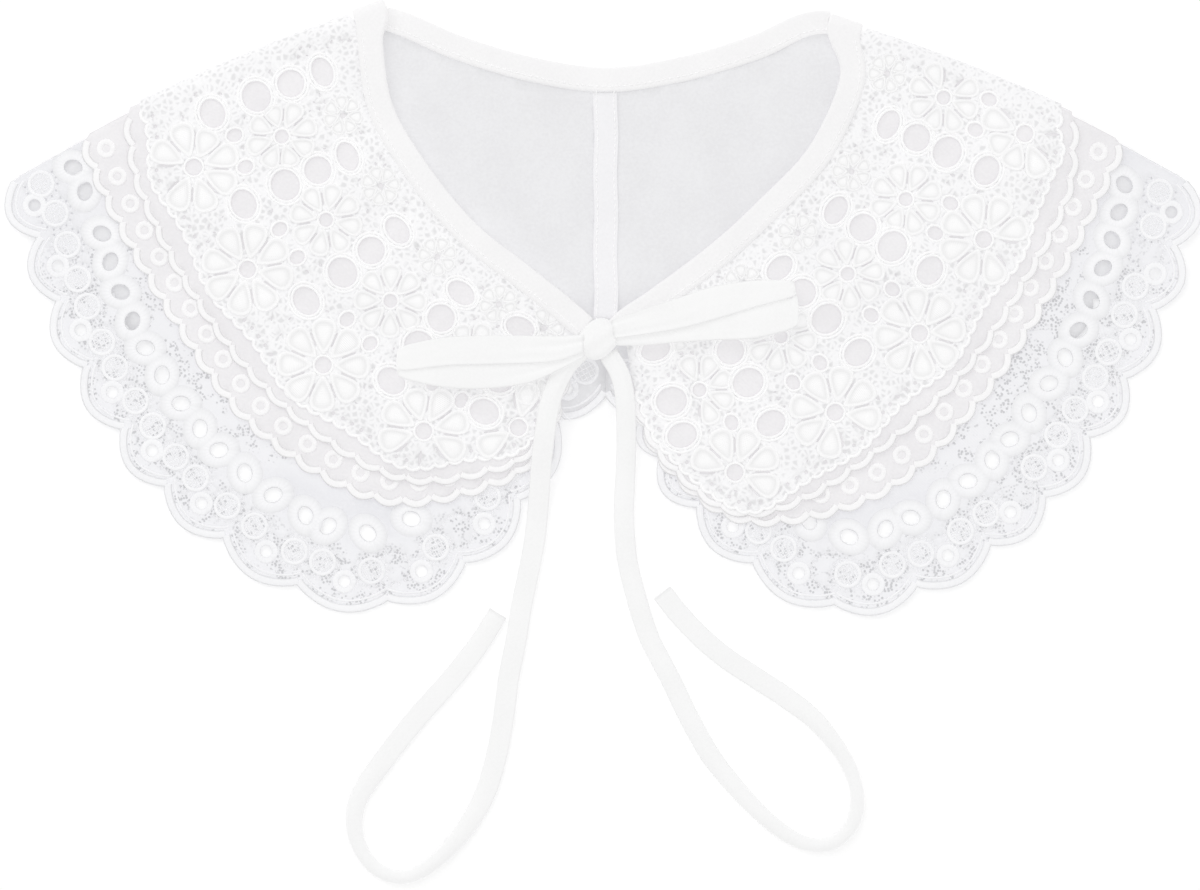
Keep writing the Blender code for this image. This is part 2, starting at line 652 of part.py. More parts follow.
def make_flower_lace(name, rows, daisy_lines, net_lines):
    """Openwork top tier: ovals cut through, petals raised in its upper points over a plain underside."""
    solid = Solid()

    def share_at(s):
        row = smooth_row(rows, s)
        apart = min(abs(s - line) for line in daisy_lines)
        swell = LACE_EDGE_WAVE * math.cos(math.pi * min(1.0, 2 * apart)) * min(1.0, s / 0.15)
        return row[4] + swell / np.hypot(*(row[2:4] - row[0:2]))

    outline, _, fold = tier_outline(rows, share_at, plain_edge)
    holes, petals = lace_motifs(rows, daisy_lines, net_lines, outline)
    creases = creases_in(outline, LEVEL_LINES + HEM_LINES)
    figures = [figure for petal in petals for figure in petal]
    top = cut_cloth(outline, holes, creases, figures)
    under = cut_cloth(outline, holes, creases)
    order = 3
    top_z = front_heights(top[0], order) + CLOTH
    ridge_points = np.array([point for petal in petals for point in petal[1]])
    for k, corner in enumerate(top[0]):
        if np.hypot(*(ridge_points - corner).T).min() < 1e-3:
            top_z[k] += PETAL_RISE
    add_wall(solid, top, top_z, under, front_heights(under[0], order), fold)
    r_in = HALF_GAP + LAYER * order
    add_fold(solid, rows, fold_shares(smooth_row(rows, 0.0)[4]), r_in, r_in + CLOTH, lip=True)
    print(name, "holes cut", len(holes), "petals", len(petals))
    return solid.make(name, COTTON)


# Hidden tiers of the back: shares down the back at which the flat solid steps, and its top there.
Step = namedtuple("Step", "share top")
HIDDEN_STEPS = (Step(0.04, 3.9), Step(0.34, 3.9), Step(0.655, 3.9), Step(0.668, 1.3), Step(0.785, 1.3))
HIDDEN_INSET = 0.50                  # guide rows in from each shoulder, clear of the tucked edges


def make_back_layers():
    """The back's three upper tiers, face down: one flat-bottomed solid, stepped where each ends."""
    solid = Solid()
    columns = np.linspace(HIDDEN_INSET, BACK_LAST - HIDDEN_INSET, 17)
    grid = [[on_guide(BACK, s, step.share) for step in HIDDEN_STEPS] for s in columns]
    tops = [step.top for step in HIDDEN_STEPS]
    last_row = len(HIDDEN_STEPS) - 1
    for a, b in zip(grid[:-1], grid[1:]):
        for k in range(last_row):
            solid.face((*a[k], tops[k]), (*a[k + 1], tops[k + 1]), (*b[k + 1], tops[k + 1]))
            solid.face((*a[k], tops[k]), (*b[k + 1], tops[k + 1]), (*b[k], tops[k]))
            solid.face((*a[k], 0.0), (*b[k + 1], 0.0), (*a[k + 1], 0.0))
            solid.face((*a[k], 0.0), (*b[k], 0.0), (*b[k + 1], 0.0))
        solid.face((*a[0], 0.0), (*b[0], tops[0]), (*b[0], 0.0))
        solid.face((*a[0], 0.0), (*a[0], tops[0]), (*b[0], tops[0]))
        end = tops[last_row]
        solid.face((*a[last_row], 0.0), (*b[last_row], 0.0), (*b[last_row], end))
        solid.face((*a[last_row], 0.0), (*b[last_row], end), (*a[last_row], end))
    for column, flip in ((grid[0], False), (grid[-1], True)):
        for k in range(last_row):
            p, q = column[k], column[k + 1]
            quad = ((*p, 0.0), (*q, 0.0), (*q, tops[k + 1]), (*p, tops[k]))
            if flip:
                quad = quad[::-1]
            solid.face(quad[0], quad[1], quad[2])
            solid.face(quad[0], quad[2], quad[3])
    return solid.make("back_layers", COTTON)


def binding_ring(outer, inner, low, high):
    """Section of the neck binding: a band with softened edges, from its outer edge to its inner one."""
    across = (inner - outer) / np.hypot(*(inner - outer))
    soft = min(1.2, (high - low) / 3)
    a, b = outer + across * soft, inner - across * soft
    return [(*a, low), (*b, low), (*inner, low + soft), (*inner, high - soft), (*b, high), (*a, high),
            (*outer, high - soft), (*outer, low + soft)]


def neck_ribs(rows, s_start, s_end, count, fold_direction, turn_in):
    """Pairs of plan points across the binding; its rib at a fold lies along the shoulder line."""
    ribs = []
    for s in np.linspace(s_start, s_end, count):
        here = on_guide(rows, s, 0.0)
        ahead = on_guide(rows, min(s + 0.02, len(rows) - 1.0), 0.0) - on_guide(rows, max(s - 0.02, 0.0), 0.0)
        normal = np.array((ahead[1], -ahead[0])) / np.hypot(*ahead)
        hem = smooth_row(rows, s)[2:4]
        if np.dot(normal, hem - here) > 0:
            normal = -normal
        for fold_s, direction in fold_direction.items():
            near = max(0.0, 1.0 - abs(s - fold_s) / turn_in)
            normal = normal * (1 - near) + direction * near
            normal = normal / np.hypot(*normal)
        ribs.append((here + normal * GAP, here + normal * BINDING_WIDTH))
    return ribs


def shoulder_direction(rows):
    """From the outer to the inner edge of the binding, along the shoulder line."""
    way = on_guide(rows, 0.0, 0.0) - on_guide(rows, 0.0, 0.05)
    return way / np.hypot(*way)


def turned_ring(rows, outer, inner, r_low, r_high, angle, above):
    """A binding section part of the way round the shoulder fold."""
    out = fold_normal(rows, 0.02)
    middle = z_fold_at(0.0)
    across = (inner - outer) / np.hypot(*(inner - outer))
    soft = min(1.2, abs(r_high - r_low) / 3)
    step = soft if r_high > r_low else -soft
    ring = []
    for point, r in ((outer + across * soft, r_low), (inner - across * soft, r_low), (inner, r_low + step),
                     (inner, r_high - step), (inner - across * soft, r_high), (outer + across * soft, r_high),
                     (outer, r_high - step), (outer, r_low + step)):
        z = middle + r * math.cos(angle)
        z = max(z, middle + HALF_GAP) if above else min(z, middle - HALF_GAP)
        shift = r if abs(r) > GAP else 0.0
        ring.append((*(point + out * shift * math.sin(angle)), z))
    return ring


TURN_ANGLES = (30.0, 60.0, 90.0)
FRONT_BINDING_TOP = LEVELS[0].z_fold + HALF_GAP + LAYER * 3 + CLOTH + BINDING_RISE
BACK_BINDING_TOP = LEVELS[0].z_fold - HALF_GAP


def make_front_binding(name, rows):
    """From the knot up to the shoulder, and a quarter turn over it."""
    last = len(rows) - 1.0
    low = LEVELS[0].z_fold + HALF_GAP
    high = FRONT_BINDING_TOP
    ribs = neck_ribs(rows, last, 0.0, 17, {0.0: shoulder_direction(rows)}, 0.6)
    (outer, inner), (next_outer, next_inner) = ribs[0], ribs[1]
    ahead = (outer + inner - next_outer - next_inner) / np.hypot(*(outer + inner - next_outer - next_inner))
    ribs.insert(0, (outer + ahead * BINDING_TO_KNOT, inner + ahead * BINDING_TO_KNOT))
    rings = [binding_ring(outer, inner, low, high) for outer, inner in ribs]
    outer, inner = ribs[-1]
    middle = LEVELS[0].z_fold
    for degrees in TURN_ANGLES:
        angle = math.radians(degrees)
        rings.append(turned_ring(rows, outer, inner, low - middle, high - middle, angle, above=True))
    solid = Solid()
    if rows[0][0] < 0:
        rings = [ring[::-1] for ring in rings]
    solid.sweep(rings)
    return solid.make(name, COTTON)


def make_back_binding():
    """Round the back neck, with a quarter turn up to each shoulder."""
    directions = {0.0: shoulder_direction(LEFT_FRONT), BACK_LAST: shoulder_direction(RIGHT_FRONT)}
    ribs = neck_ribs(BACK, 0.0, BACK_LAST, 21, directions, 0.7)
    rings = []
    for k, (outer, inner) in enumerate(ribs):
        clear = min(1.0, min(k, len(ribs) - 1 - k) / 4)
        rings.append(binding_ring(outer, inner, 0.0, BACK_BINDING_TOP + 0.6 * max(0.0, clear - 0.5) * 2))
    middle = LEVELS[0].z_fold
    start, end = [], []
    for degrees in TURN_ANGLES:
        angle = math.pi - math.radians(degrees)
        start.insert(0, turned_ring(LEFT_FRONT, *ribs[0], middle, HALF_GAP, angle, above=False))
        end.append(turned_ring(RIGHT_FRONT, *ribs[-1], middle, HALF_GAP, angle, above=False))
    solid = Solid()
    solid.sweep(start + rings + end)
    return solid.make("neck_binding_back", COTTON)


def make_back_seam():
    """Felled strip down the centre back, seen inside the neck."""
    low = LEVELS[0].z_fold - HALF_GAP + GAP
    high = low + CLOTH
    middle = BACK[CENTRE_BACK].neck_x
    rings = []
    for y in (SEAM_TOP_Y, (SEAM_TOP_Y + SEAM_END_Y) / 2, SEAM_END_Y):
        x0, x1 = middle - SEAM_WIDTH / 2, middle + SEAM_WIDTH / 2
        rings.append([(x0, y, low), (x1, y, low), (x1, y, high - 0.4), (x1 - 0.6, y, high), (x0 + 0.6, y, high),
                      (x0, y, high - 0.4)])
    solid = Solid()
    solid.sweep([ring[::-1] for ring in rings[::-1]])
    return solid.make("back_seam", SHEER)


def make_knot():
    """The tied knot, a rounded lump across the binding's ends."""
    solid = Solid()
    around = 12
    low, high = KNOT_Z
    rings = []
    for j, swell in enumerate(KNOT_SWELL):
        v = j / (len(KNOT_SWELL) - 1)
        rings.append([(KNOT_CENTRE[0] + KNOT_RADII[0] * swell * math.cos(2 * math.pi * k / around),
                       KNOT_CENTRE[1] + KNOT_RADII[1] * swell * math.sin(2 * math.pi * k / around),
                       low + (high - low) * v) for k in range(around)])
    solid.sweep(rings)
    return solid.make("bow_knot", RIBBON)


# Bow loops. Each row is a place along a strand: x, y, height of its middle, and half its width there.
Strand = namedtuple("Strand", "x y z half")
LEFT_UPPER = (
    Strand(-6.65, -13.0, 14.0, 3.0), Strand(-17.0, -15.5, 13.6, 4.2), Strand(-30.0, -15.4, 12.6, 4.6),
    Strand(-45.0, -15.0, 11.7, 4.6), Strand(-60.0, -15.5, 11.4, 4.5), Strand(-78.0, -18.0, 11.5, 4.4),
)
LEFT_LOWER = (
    Strand(-78.0, -21.2, 8.9, 4.4), Strand(-60.0, -24.2, 8.5, 4.5), Strand(-44.0, -24.6, 8.4, 4.5),
    Strand(-28.0, -22.8, 9.2, 4.0), Strand(-16.0, -19.6, 10.9, 3.0), Strand(-6.0, -15.8, 11.6, 2.0),
)
RIGHT_UPPER = (
    Strand(4.75, -7.0, 14.6, 3.0), Strand(17.0, -4.6, 14.4, 4.0), Strand(30.0, -2.0, 14.0, 4.6),
    Strand(44.0, 1.2, 13.8, 4.7), Strand(58.0, 4.2, 14.2, 4.6), Strand(74.0, 5.4, 14.9, 4.4),
)
RIGHT_LOWER = (
    Strand(74.0, 2.0, 12.3, 4.4), Strand(58.0, -4.6, 11.9, 4.6), Strand(42.0, -7.7, 10.6, 4.4),
    Strand(28.0, -9.4, 10.9, 4.0), Strand(17.0, -9.8, 11.7, 3.2), Strand(5.85, -10.6, 12.0, 2.2),
)
TURN_SIDES = 5


def make_loop(name, upper, lower):
    """A ribbon loop laid flat: out along the upper strand, over at the end and back along the lower one."""
    there = [smooth_row(upper, s) for s in np.linspace(0, len(upper) - 1, 11)]
    back = [smooth_row(lower, s) for s in np.linspace(0, len(lower) - 1, 11)]
    end, start = there[-1], back[0]
    radius = (end[2] - start[2]) / 2
    outward = 1.0 if end[0] > 0 else -1.0
    turn = []
    for k in range(1, TURN_SIDES):
        share = k / TURN_SIDES
        a = math.pi * share
        middle = end + (start - end) * share
        turn.append(np.array((middle[0] + outward * radius * math.sin(a), middle[1],
                              (end[2] + start[2]) / 2 + radius * math.cos(a), middle[3])))
    rows = there + turn + back
    across = np.array((0.0, 1.0, 0.0)) if outward < 0 else np.array((-0.2, 0.98, 0.0))
    rings = []
    for k, (x, y, z, half) in enumerate(rows):
        a, b = rows[max(k - 1, 0)], rows[min(k + 1, len(rows) - 1)]
        up = np.cross(np.array((b[0] - a[0], 0.0, b[2] - a[2])), (0.0, 1.0, 0.0))
        up = up / np.linalg.norm(up) * RIBBON_THICK / 2
        side = across * half
        here = np.array((x, y, z))
        rings.append([here - side - up, here + side - up, here + side + up, here - side + up])
    solid = Solid()
    solid.sweep(rings)
    return solid.make(name, RIBBON)


def make_tail(name, route):
    """A flat tape along its route, its width level with the surface."""
    fine = [smooth_row(route, s) for s in np.linspace(0, len(route) - 1, 600)]
    rows = resample(fine, TAIL_STEP)
    rings = []
    for k, row in enumerate(rows):
        a, b = rows[max(k - 1, 0)], rows[min(k + 1, len(rows) - 1)]
        way = (b - a)[:2] / np.hypot(*(b - a)[:2])
        side = np.array((-way[1], way[0])) * RIBBON_WIDTH / 2
        left, right = row[:2] + side, row[:2] - side
        low, high = row[2], row[2] + RIBBON_THICK
        rings.append([(*right, low), (*right, high), (*left, high), (*left, low)])
    solid = Solid()
    solid.sweep([ring[::-1] for ring in rings])
    return solid.make(name, RIBBON)


def main():
    for item in list(bpy.data.objects):
        bpy.data.objects.remove(item, do_unlink=True)
    sides = (
        ("left", LEFT_FRONT, LEFT_NOTCHES, 0.0, LEFT_DAISY_LINES, LEFT_NET_LINES),
        ("right", RIGHT_FRONT, RIGHT_NOTCHES, BACK_LAST, RIGHT_DAISY_LINES, RIGHT_NET_LINES),
    )
    for side, rows, notches, shoulder, daisy_lines, net_lines in sides:
        make_base("base_" + side, rows, notches, shoulder, float(CENTRE_BACK))
        make_tier("ring_tier_" + side, rows, 6, 1, small_scallops(RING_SCALLOP_WIDTH, RING_SCALLOP_DEPTH, 4))
        make_tier("narrow_tier_" + side, rows, 5, 2, small_scallops(NARROW_SCALLOP_WIDTH, NARROW_SCALLOP_DEPTH, 3))
        make_flower_lace("daisy_lace_" + side, rows, daisy_lines, net_lines)
        make_front_binding("neck_binding_" + side, rows)
    make_back_layers()
    make_back_seam()
    make_back_binding()
    make_knot()
    make_loop("bow_loop_left", LEFT_UPPER, LEFT_LOWER)
    make_loop("bow_loop_right", RIGHT_UPPER, RIGHT_LOWER)
    make_tail("tie_tail_left", LEFT_TAIL)
    make_tail("tie_tail_right", RIGHT_TAIL)


main()
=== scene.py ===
import math

import bpy
import numpy as np
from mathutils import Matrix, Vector
from mathutils.geometry import delaunay_2d_cdt


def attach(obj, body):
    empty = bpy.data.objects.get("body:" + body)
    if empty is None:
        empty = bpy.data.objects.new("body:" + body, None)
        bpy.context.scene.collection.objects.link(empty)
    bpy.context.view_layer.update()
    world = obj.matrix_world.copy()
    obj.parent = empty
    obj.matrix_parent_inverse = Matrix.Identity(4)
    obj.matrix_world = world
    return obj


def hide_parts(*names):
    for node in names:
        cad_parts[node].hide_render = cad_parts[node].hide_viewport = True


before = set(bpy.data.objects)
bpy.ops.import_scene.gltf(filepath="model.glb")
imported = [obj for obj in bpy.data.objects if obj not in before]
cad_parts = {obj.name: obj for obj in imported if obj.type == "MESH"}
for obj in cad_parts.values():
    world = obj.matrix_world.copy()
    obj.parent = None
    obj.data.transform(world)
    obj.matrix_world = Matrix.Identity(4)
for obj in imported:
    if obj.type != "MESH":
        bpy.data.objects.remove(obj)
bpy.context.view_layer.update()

# The plan is in millimetres, x to the right and y to the back neck. It is moved by centreShift and scaled
# by mm when a mesh is made, which puts every piece where the CAD solids lie.
mm = 0.001
centreShift = np.array((-1.112, -0.682))
clothWall = 1.0                     # a cloth layer's room in the CAD model
layerGap = 0.3
layerStep = clothWall + layerGap
tapeWidth = 8.0
photoScale = 0.385                  # mm in one pixel of the photograph

# columns: neck x, neck y, hem x, hem y, share of the way down of lace edge, narrow edge, ring edge
frontGuides = {
    "left": np.array((
        (-93.5, 111.0, -227.5, 49.5, 0.618, 0.651, 0.780),
        (-89.0, 78.5, -219.5, 33.0, 0.636, 0.680, 0.775),
        (-75.5, 53.5, -197.5, -22.5, 0.610, 0.655, 0.730),
        (-55.0, 28.0, -162.0, -73.0, 0.597, 0.635, 0.725),
        (-34.0, 11.0, -104.5, -107.5, 0.596, 0.635, 0.708),
        (-20.0, 0.0, -42.0, -85.0, 0.646, 0.700, 0.760),
        (-13.5, -5.5, -21.5, -54.5, 0.740, 0.800, 0.860),
        (-9.5, -9.0, -13.5, -24.5, 0.800, 0.850, 0.900))),
    "right": np.array((
        (99.0, 105.5, 227.0, 49.5, 0.606, 0.640, 0.787),
        (100.5, 86.5, 224.0, 29.5, 0.610, 0.655, 0.740),
        (87.5, 58.0, 211.5, -5.5, 0.595, 0.640, 0.713),
        (67.5, 36.5, 182.5, -57.5, 0.593, 0.633, 0.708),
        (48.5, 19.0, 134.0, -99.5, 0.605, 0.640, 0.735),
        (24.5, 1.0, 69.5, -103.0, 0.750, 0.765, 0.790),
        (14.0, -6.0, 26.0, -63.0, 0.880, 0.905, 0.930),
        (9.5, -10.0, 13.5, -36.0, 0.880, 0.905, 0.930))),
}
# the back panel, from the left shoulder fold to the right one: neck x, neck y, hem x, hem y
backGuides = np.array((
    (-93.5, 111.0, -227.5, 49.5), (-77.0, 106.5, -191.0, 10.0), (-56.0, 97.5, -137.0, -26.5),
    (-27.0, 89.0, -69.5, -42.0), (2.0, 85.0, 2.0, -32.5), (31.5, 89.0, 73.0, -44.5),
    (60.5, 97.5, 140.5, -29.5), (81.5, 106.5, 194.0, 8.0), (99.0, 105.5, 227.0, 49.5)))
foldBow = 3.6
# corners between the border scallops
hemNotches = {
    "left": np.array((
        (-227.5, 49.5), (-217.3, 28.5), (-210.0, 3.9), (-199.6, -21.6), (-185.0, -45.4), (-168.4, -67.4),
        (-145.7, -87.4), (-117.2, -105.5), (-82.2, -111.7), (-52.2, -97.0), (-31.0, -72.8), (-16.4, -42.7),
        (-13.5, -24.5))),
    "right": np.array((
        (227.0, 49.5), (222.3, 25.4), (214.3, 0.8), (203.1, -25.8), (188.8, -48.5), (171.9, -71.6),
        (150.7, -90.1), (122.2, -106.3), (90.3, -113.2), (58.7, -97.0), (37.2, -75.5), (22.9, -56.2),
        (15.2, -41.2), (13.5, -36.0))),
}
sides = ("left", "right")
outwardSign = {"left": 1.0, "right": -1.0}
# the plane between front and back steps down where the back's hidden tiers end: share down the back, height
foldSteps = ((0.0, 5.35), (0.656, 5.35), (0.765, 2.75), (0.790, 2.75), (0.905, 1.15), (1.062, 1.15),
             (1.200, -0.15))

# Camera straight above, as the photograph looks at the flat collar.
camera = {"height": 1.6, "sensor": 36.0, "imageWidth": 1200, "imageHeight": 890, "photoMiddle": (600.5, 311.0)}


def planOfPixel(u, v):
    return np.array(((u - camera["photoMiddle"][0]) * photoScale, (camera["photoMiddle"][1] - v) * photoScale))


def placed(xy, z):
    return Vector(((xy[0] + centreShift[0]) * mm, (xy[1] + centreShift[1]) * mm, z * mm))


def makeCamera():
    eye = placed(planOfPixel(camera["imageWidth"] / 2, camera["imageHeight"] / 2), 0.0)
    data = bpy.data.cameras.new("cameraAbove")
    data.sensor_width = camera["sensor"]
    seenWidth = camera["imageWidth"] * photoScale * mm
    data.lens = camera["sensor"] * (camera["height"] - 0.006) / seenWidth
    data.clip_end = 20.0
    holder = bpy.data.objects.new("cameraAbove", data)
    holder.location = (eye.x, eye.y, camera["height"])
    bpy.context.scene.collection.objects.link(holder)
    bpy.context.scene.camera = holder


makeCamera()


# Points along rows of a table, smoothly between them.
def rowAt(rows, s):
    last = len(rows) - 1
    s = np.clip(np.asarray(s, float), 0, last)
    i = np.minimum(s.astype(int), last - 1)
    f = (s - i)[..., None]
    full = np.vstack((2 * rows[0] - rows[1], rows, 2 * rows[-1] - rows[-2]))
    a, b, c, d = full[i], full[i + 1], full[i + 2], full[i + 3]
    return 0.5 * (2 * b + (c - a) * f + (2 * a - 5 * b + 4 * c - d) * f ** 2 + (3 * b - a - 3 * c + d) * f ** 3)


def onGuide(rows, s, share):
    s, share = np.broadcast_arrays(np.asarray(s, float), np.asarray(share, float))
    row = rowAt(rows, s)
    neck, hem = row[..., 0:2], row[..., 2:4]
    way = hem - neck
    point = neck + way * share[..., None]
    folds = [0.0] if rows.shape[1] == 7 else [0.0, len(rows) - 1.0]
    for fold in folds:
        near = np.maximum(0.0, 1.0 - np.abs(s - fold))
        side = np.stack((way[..., 1], -way[..., 0]), -1) / np.hypot(way[..., 0], way[..., 1])[..., None]
        side = side * np.where(side[..., 1:2] < 0, -1.0, 1.0)
        point = point + side * (foldBow * near ** 2 * 4 * share * (1 - share))[..., None]
    return point


def lengthsAlong(points):
    return np.concatenate(([0.0], np.cumsum(np.hypot(*np.diff(points[:, :2], axis=0).T))))


def evenly(points, step, count=None):
    points = np.asarray(points, float)
    total = lengthsAlong(points)
    count = count or max(2, int(round(total[-1] / step)) + 1)
    at = np.linspace(0.0, total[-1], count)
    return np.stack([np.interp(at, total, points[:, k]) for k in range(points.shape[1])], 1)


def acrossOf(points, closed=False):
    if closed:
        ahead = np.roll(points, -1, 0) - np.roll(points, 1, 0)
    else:
        ahead = np.gradient(points[:, :2], axis=0)
    ahead = ahead[:, :2] / np.maximum(np.hypot(ahead[:, 0], ahead[:, 1]), 1e-9)[:, None]
    return np.stack((ahead[:, 1], -ahead[:, 0]), 1)


def within(points, polygon):
    ax, ay = polygon[:, 0], polygon[:, 1]
    bx, by = np.roll(ax, -1), np.roll(ay, -1)
    result = np.zeros(len(points), bool)
    for start in range(0, len(points), 20000):
        x, y = points[start:start + 20000, 0:1], points[start:start + 20000, 1:2]
        crosses = (ay > y) != (by > y)
        rise = np.where(by == ay, 1e-12, by - ay)
        hits = crosses & (x < (bx - ax) * (y - ay) / rise + ax)
        result[start:start + 20000] = np.count_nonzero(hits, axis=1) % 2 == 1
    return result


# Distance to a line, the place along it, and the nearest point.
def offLine(points, line, closed=False):
    a = line
    b = np.roll(line, -1, axis=0)
    if not closed:
        a, b = a[:-1], b[:-1]
    way = b - a
    size = np.maximum((way ** 2).sum(1), 1e-12)
    apart = np.empty(len(points))
    place = np.empty(len(points))
    nearest = np.empty((len(points), 2))
    for start in range(0, len(points), 8000):
        part = points[start:start + 8000]
        rel = part[:, None] - a[None]
        t = np.clip((rel * way[None]).sum(2) / size, 0, 1)
        gap = rel - t[..., None] * way[None]
        dist = (gap ** 2).sum(2)
        best = dist.argmin(1)
        rows = np.arange(len(part))
        apart[start:start + 8000] = np.sqrt(dist[rows, best])
        place[start:start + 8000] = best + t[rows, best]
        nearest[start:start + 8000] = a[best] + way[best] * t[rows, best][:, None]
    return apart, place, nearest


# The shoulder fold lines, with the direction that faces out of the collar.
foldShares = np.linspace(-0.03, 1.04, 90)
foldLines = {side: onGuide(frontGuides[side], 0.0, foldShares) for side in sides}
foldOut = {}
for sideName in sides:
    out = acrossOf(foldLines[sideName])
    foldOut[sideName] = out * np.where(out[:, 1:2] < 0, -1.0, 1.0)


# Height of the plane between the front and the back, on a grid, softened as cloth over an edge is.
def makeHeightMap(steps, softness):
    xs = np.arange(-250.0, 250.5, 2.5)
    ys = np.arange(-135.0, 140.5, 2.5)
    points = np.stack(np.meshgrid(xs, ys), -1).reshape(-1, 2)
    across = np.linspace(0.0, len(backGuides) - 1.0, 49)
    lines = [(share, z, onGuide(backGuides, across, share)) for share, z in steps[1:]]
    height = np.full(len(points), steps[-1][1])
    done = np.zeros(len(points), bool)
    before = None
    for share, z, line in lines:
        polygon = np.vstack((line, (line[-1][0] + 60, 400.0), (line[0][0] - 60, 400.0)))
        inside = within(points, polygon)
        apart = offLine(points, line)[0]
        fresh = inside & ~done
        if before is None:
            height[fresh] = z
        else:
            share = before[1] / np.maximum(before[1] + apart, 1e-9)
            share = share * share * (3 - 2 * share)
            height[fresh] = (before[0] + (z - before[0]) * share)[fresh]
        done |= inside
        before = (z, apart)
    height = height.reshape(len(ys), len(xs))
    for _ in range(softness):
        grown = np.pad(height, 1, mode="edge")
        height = (grown[:-2, 1:-1] + grown[2:, 1:-1] + grown[1:-1, :-2] + grown[1:-1, 2:] + 4 * height) / 8
    return xs, ys, height


heightMap = makeHeightMap(foldSteps, 1)


def foldHeight(points):
    xs, ys, grid = heightMap
    fx = np.clip((points[:, 0] - xs[0]) / 2.5, 0, len(xs) - 1.001)
    fy = np.clip((points[:, 1] - ys[0]) / 2.5, 0, len(ys) - 1.001)
    i, j = fx.astype(int), fy.astype(int)
    u, v = fx - i, fy - j
    return ((grid[j, i] * (1 - u) + grid[j, i + 1] * u) * (1 - v)
            + (grid[j + 1, i] * (1 - u) + grid[j + 1, i + 1] * u) * v)


# Slow waves in the cloth, radiating from the shoulder, as light cloth has when it's laid down by hand.
ripples = {"height": 0.45, "back": 0.13, "centre": {"left": (-60.0, 95.0), "right": (62.0, 92.0)}}


def waviness(points, side):
    cx, cy = ripples["centre"][side]
    angle = np.arctan2(points[:, 1] - cy, points[:, 0] - cx)
    reach = np.hypot(points[:, 0] - cx, points[:, 1] - cy)
    wave = (np.sin(7 * angle + 1.3 + reach * 0.013) + 0.6 * np.sin(13 * angle + 0.4 - reach * 0.03)
            + 0.4 * np.sin(23 * angle + 2.0 + reach * 0.05) + 0.3 * np.sin(reach * 0.11 + 3 * angle))
    grow = np.clip((reach - 40.0) / 90.0, 0, 1)
    return ripples["height"] * grow * (wave + 1.2) * 0.5


# Lays flat points of a front tier over what is below it, and round the shoulder fold.
def layFront(flat, height, side, order):
    line, out = foldLines[side], foldOut[side]
    apart, place, nearest = offLine(flat, line)
    index = np.clip(place.astype(int), 0, len(line) - 2)
    share = (place - index)[:, None]
    normal = out[index] * (1 - share) + out[index + 1] * share
    normal = normal / np.hypot(normal[:, 0], normal[:, 1])[:, None]
    past = ((flat - nearest) * normal).sum(1)
    beyond = past > 0
    middleRadius = layerGap / 2 + layerStep * order + clothWall / 2
    turn = np.clip(past / middleRadius, 0, math.pi)
    under = np.maximum(past - math.pi * middleRadius, 0)
    radius = middleRadius + height
    flatHeight = foldHeight(np.where(beyond[:, None], nearest, flat))
    soft = np.clip(-past / 25.0, 0, 1)
    z = flatHeight + radius * np.where(beyond, np.cos(turn), 1.0) + waviness(flat, side) * soft
    rolled = nearest + normal * (radius * np.sin(turn) - under)[:, None]
    xy = np.where(beyond[:, None], rolled, flat)
    return np.column_stack((xy, z))


def layBack(flat, height):
    x, y = flat[:, 0], flat[:, 1]
    angle = np.arctan2(x - 2.0, 150.0 - y)
    wave = np.sin(17 * angle + 0.02 * y + 0.6) + 0.7 * np.sin(31 * angle - 0.05 * y) + 0.5 * np.sin(0.07 * y + 0.05 * x)
    z = foldHeight(flat) - layerGap / 2 - clothWall / 2 + height + ripples["back"] * wave
    return np.column_stack((flat, z))


def toMetres(points):
    points = np.array(points, float)
    points[:, 0:2] += centreShift
    return points * mm


# Materials. All of them read Object coordinates or an attribute of the piece.
def nodeMaker(material):
    tree = material.node_tree

    def make(kind, **settings):
        node = tree.nodes.new(kind)
        for key, value in settings.items():
            if key.startswith("in_"):
                name = key[3:]
                node.inputs[int(name) if name.isdigit() else name].default_value = value
            else:
                setattr(node, key, value)
        return node

    def link(a, b):
        tree.links.new(a, b)

    return make, link


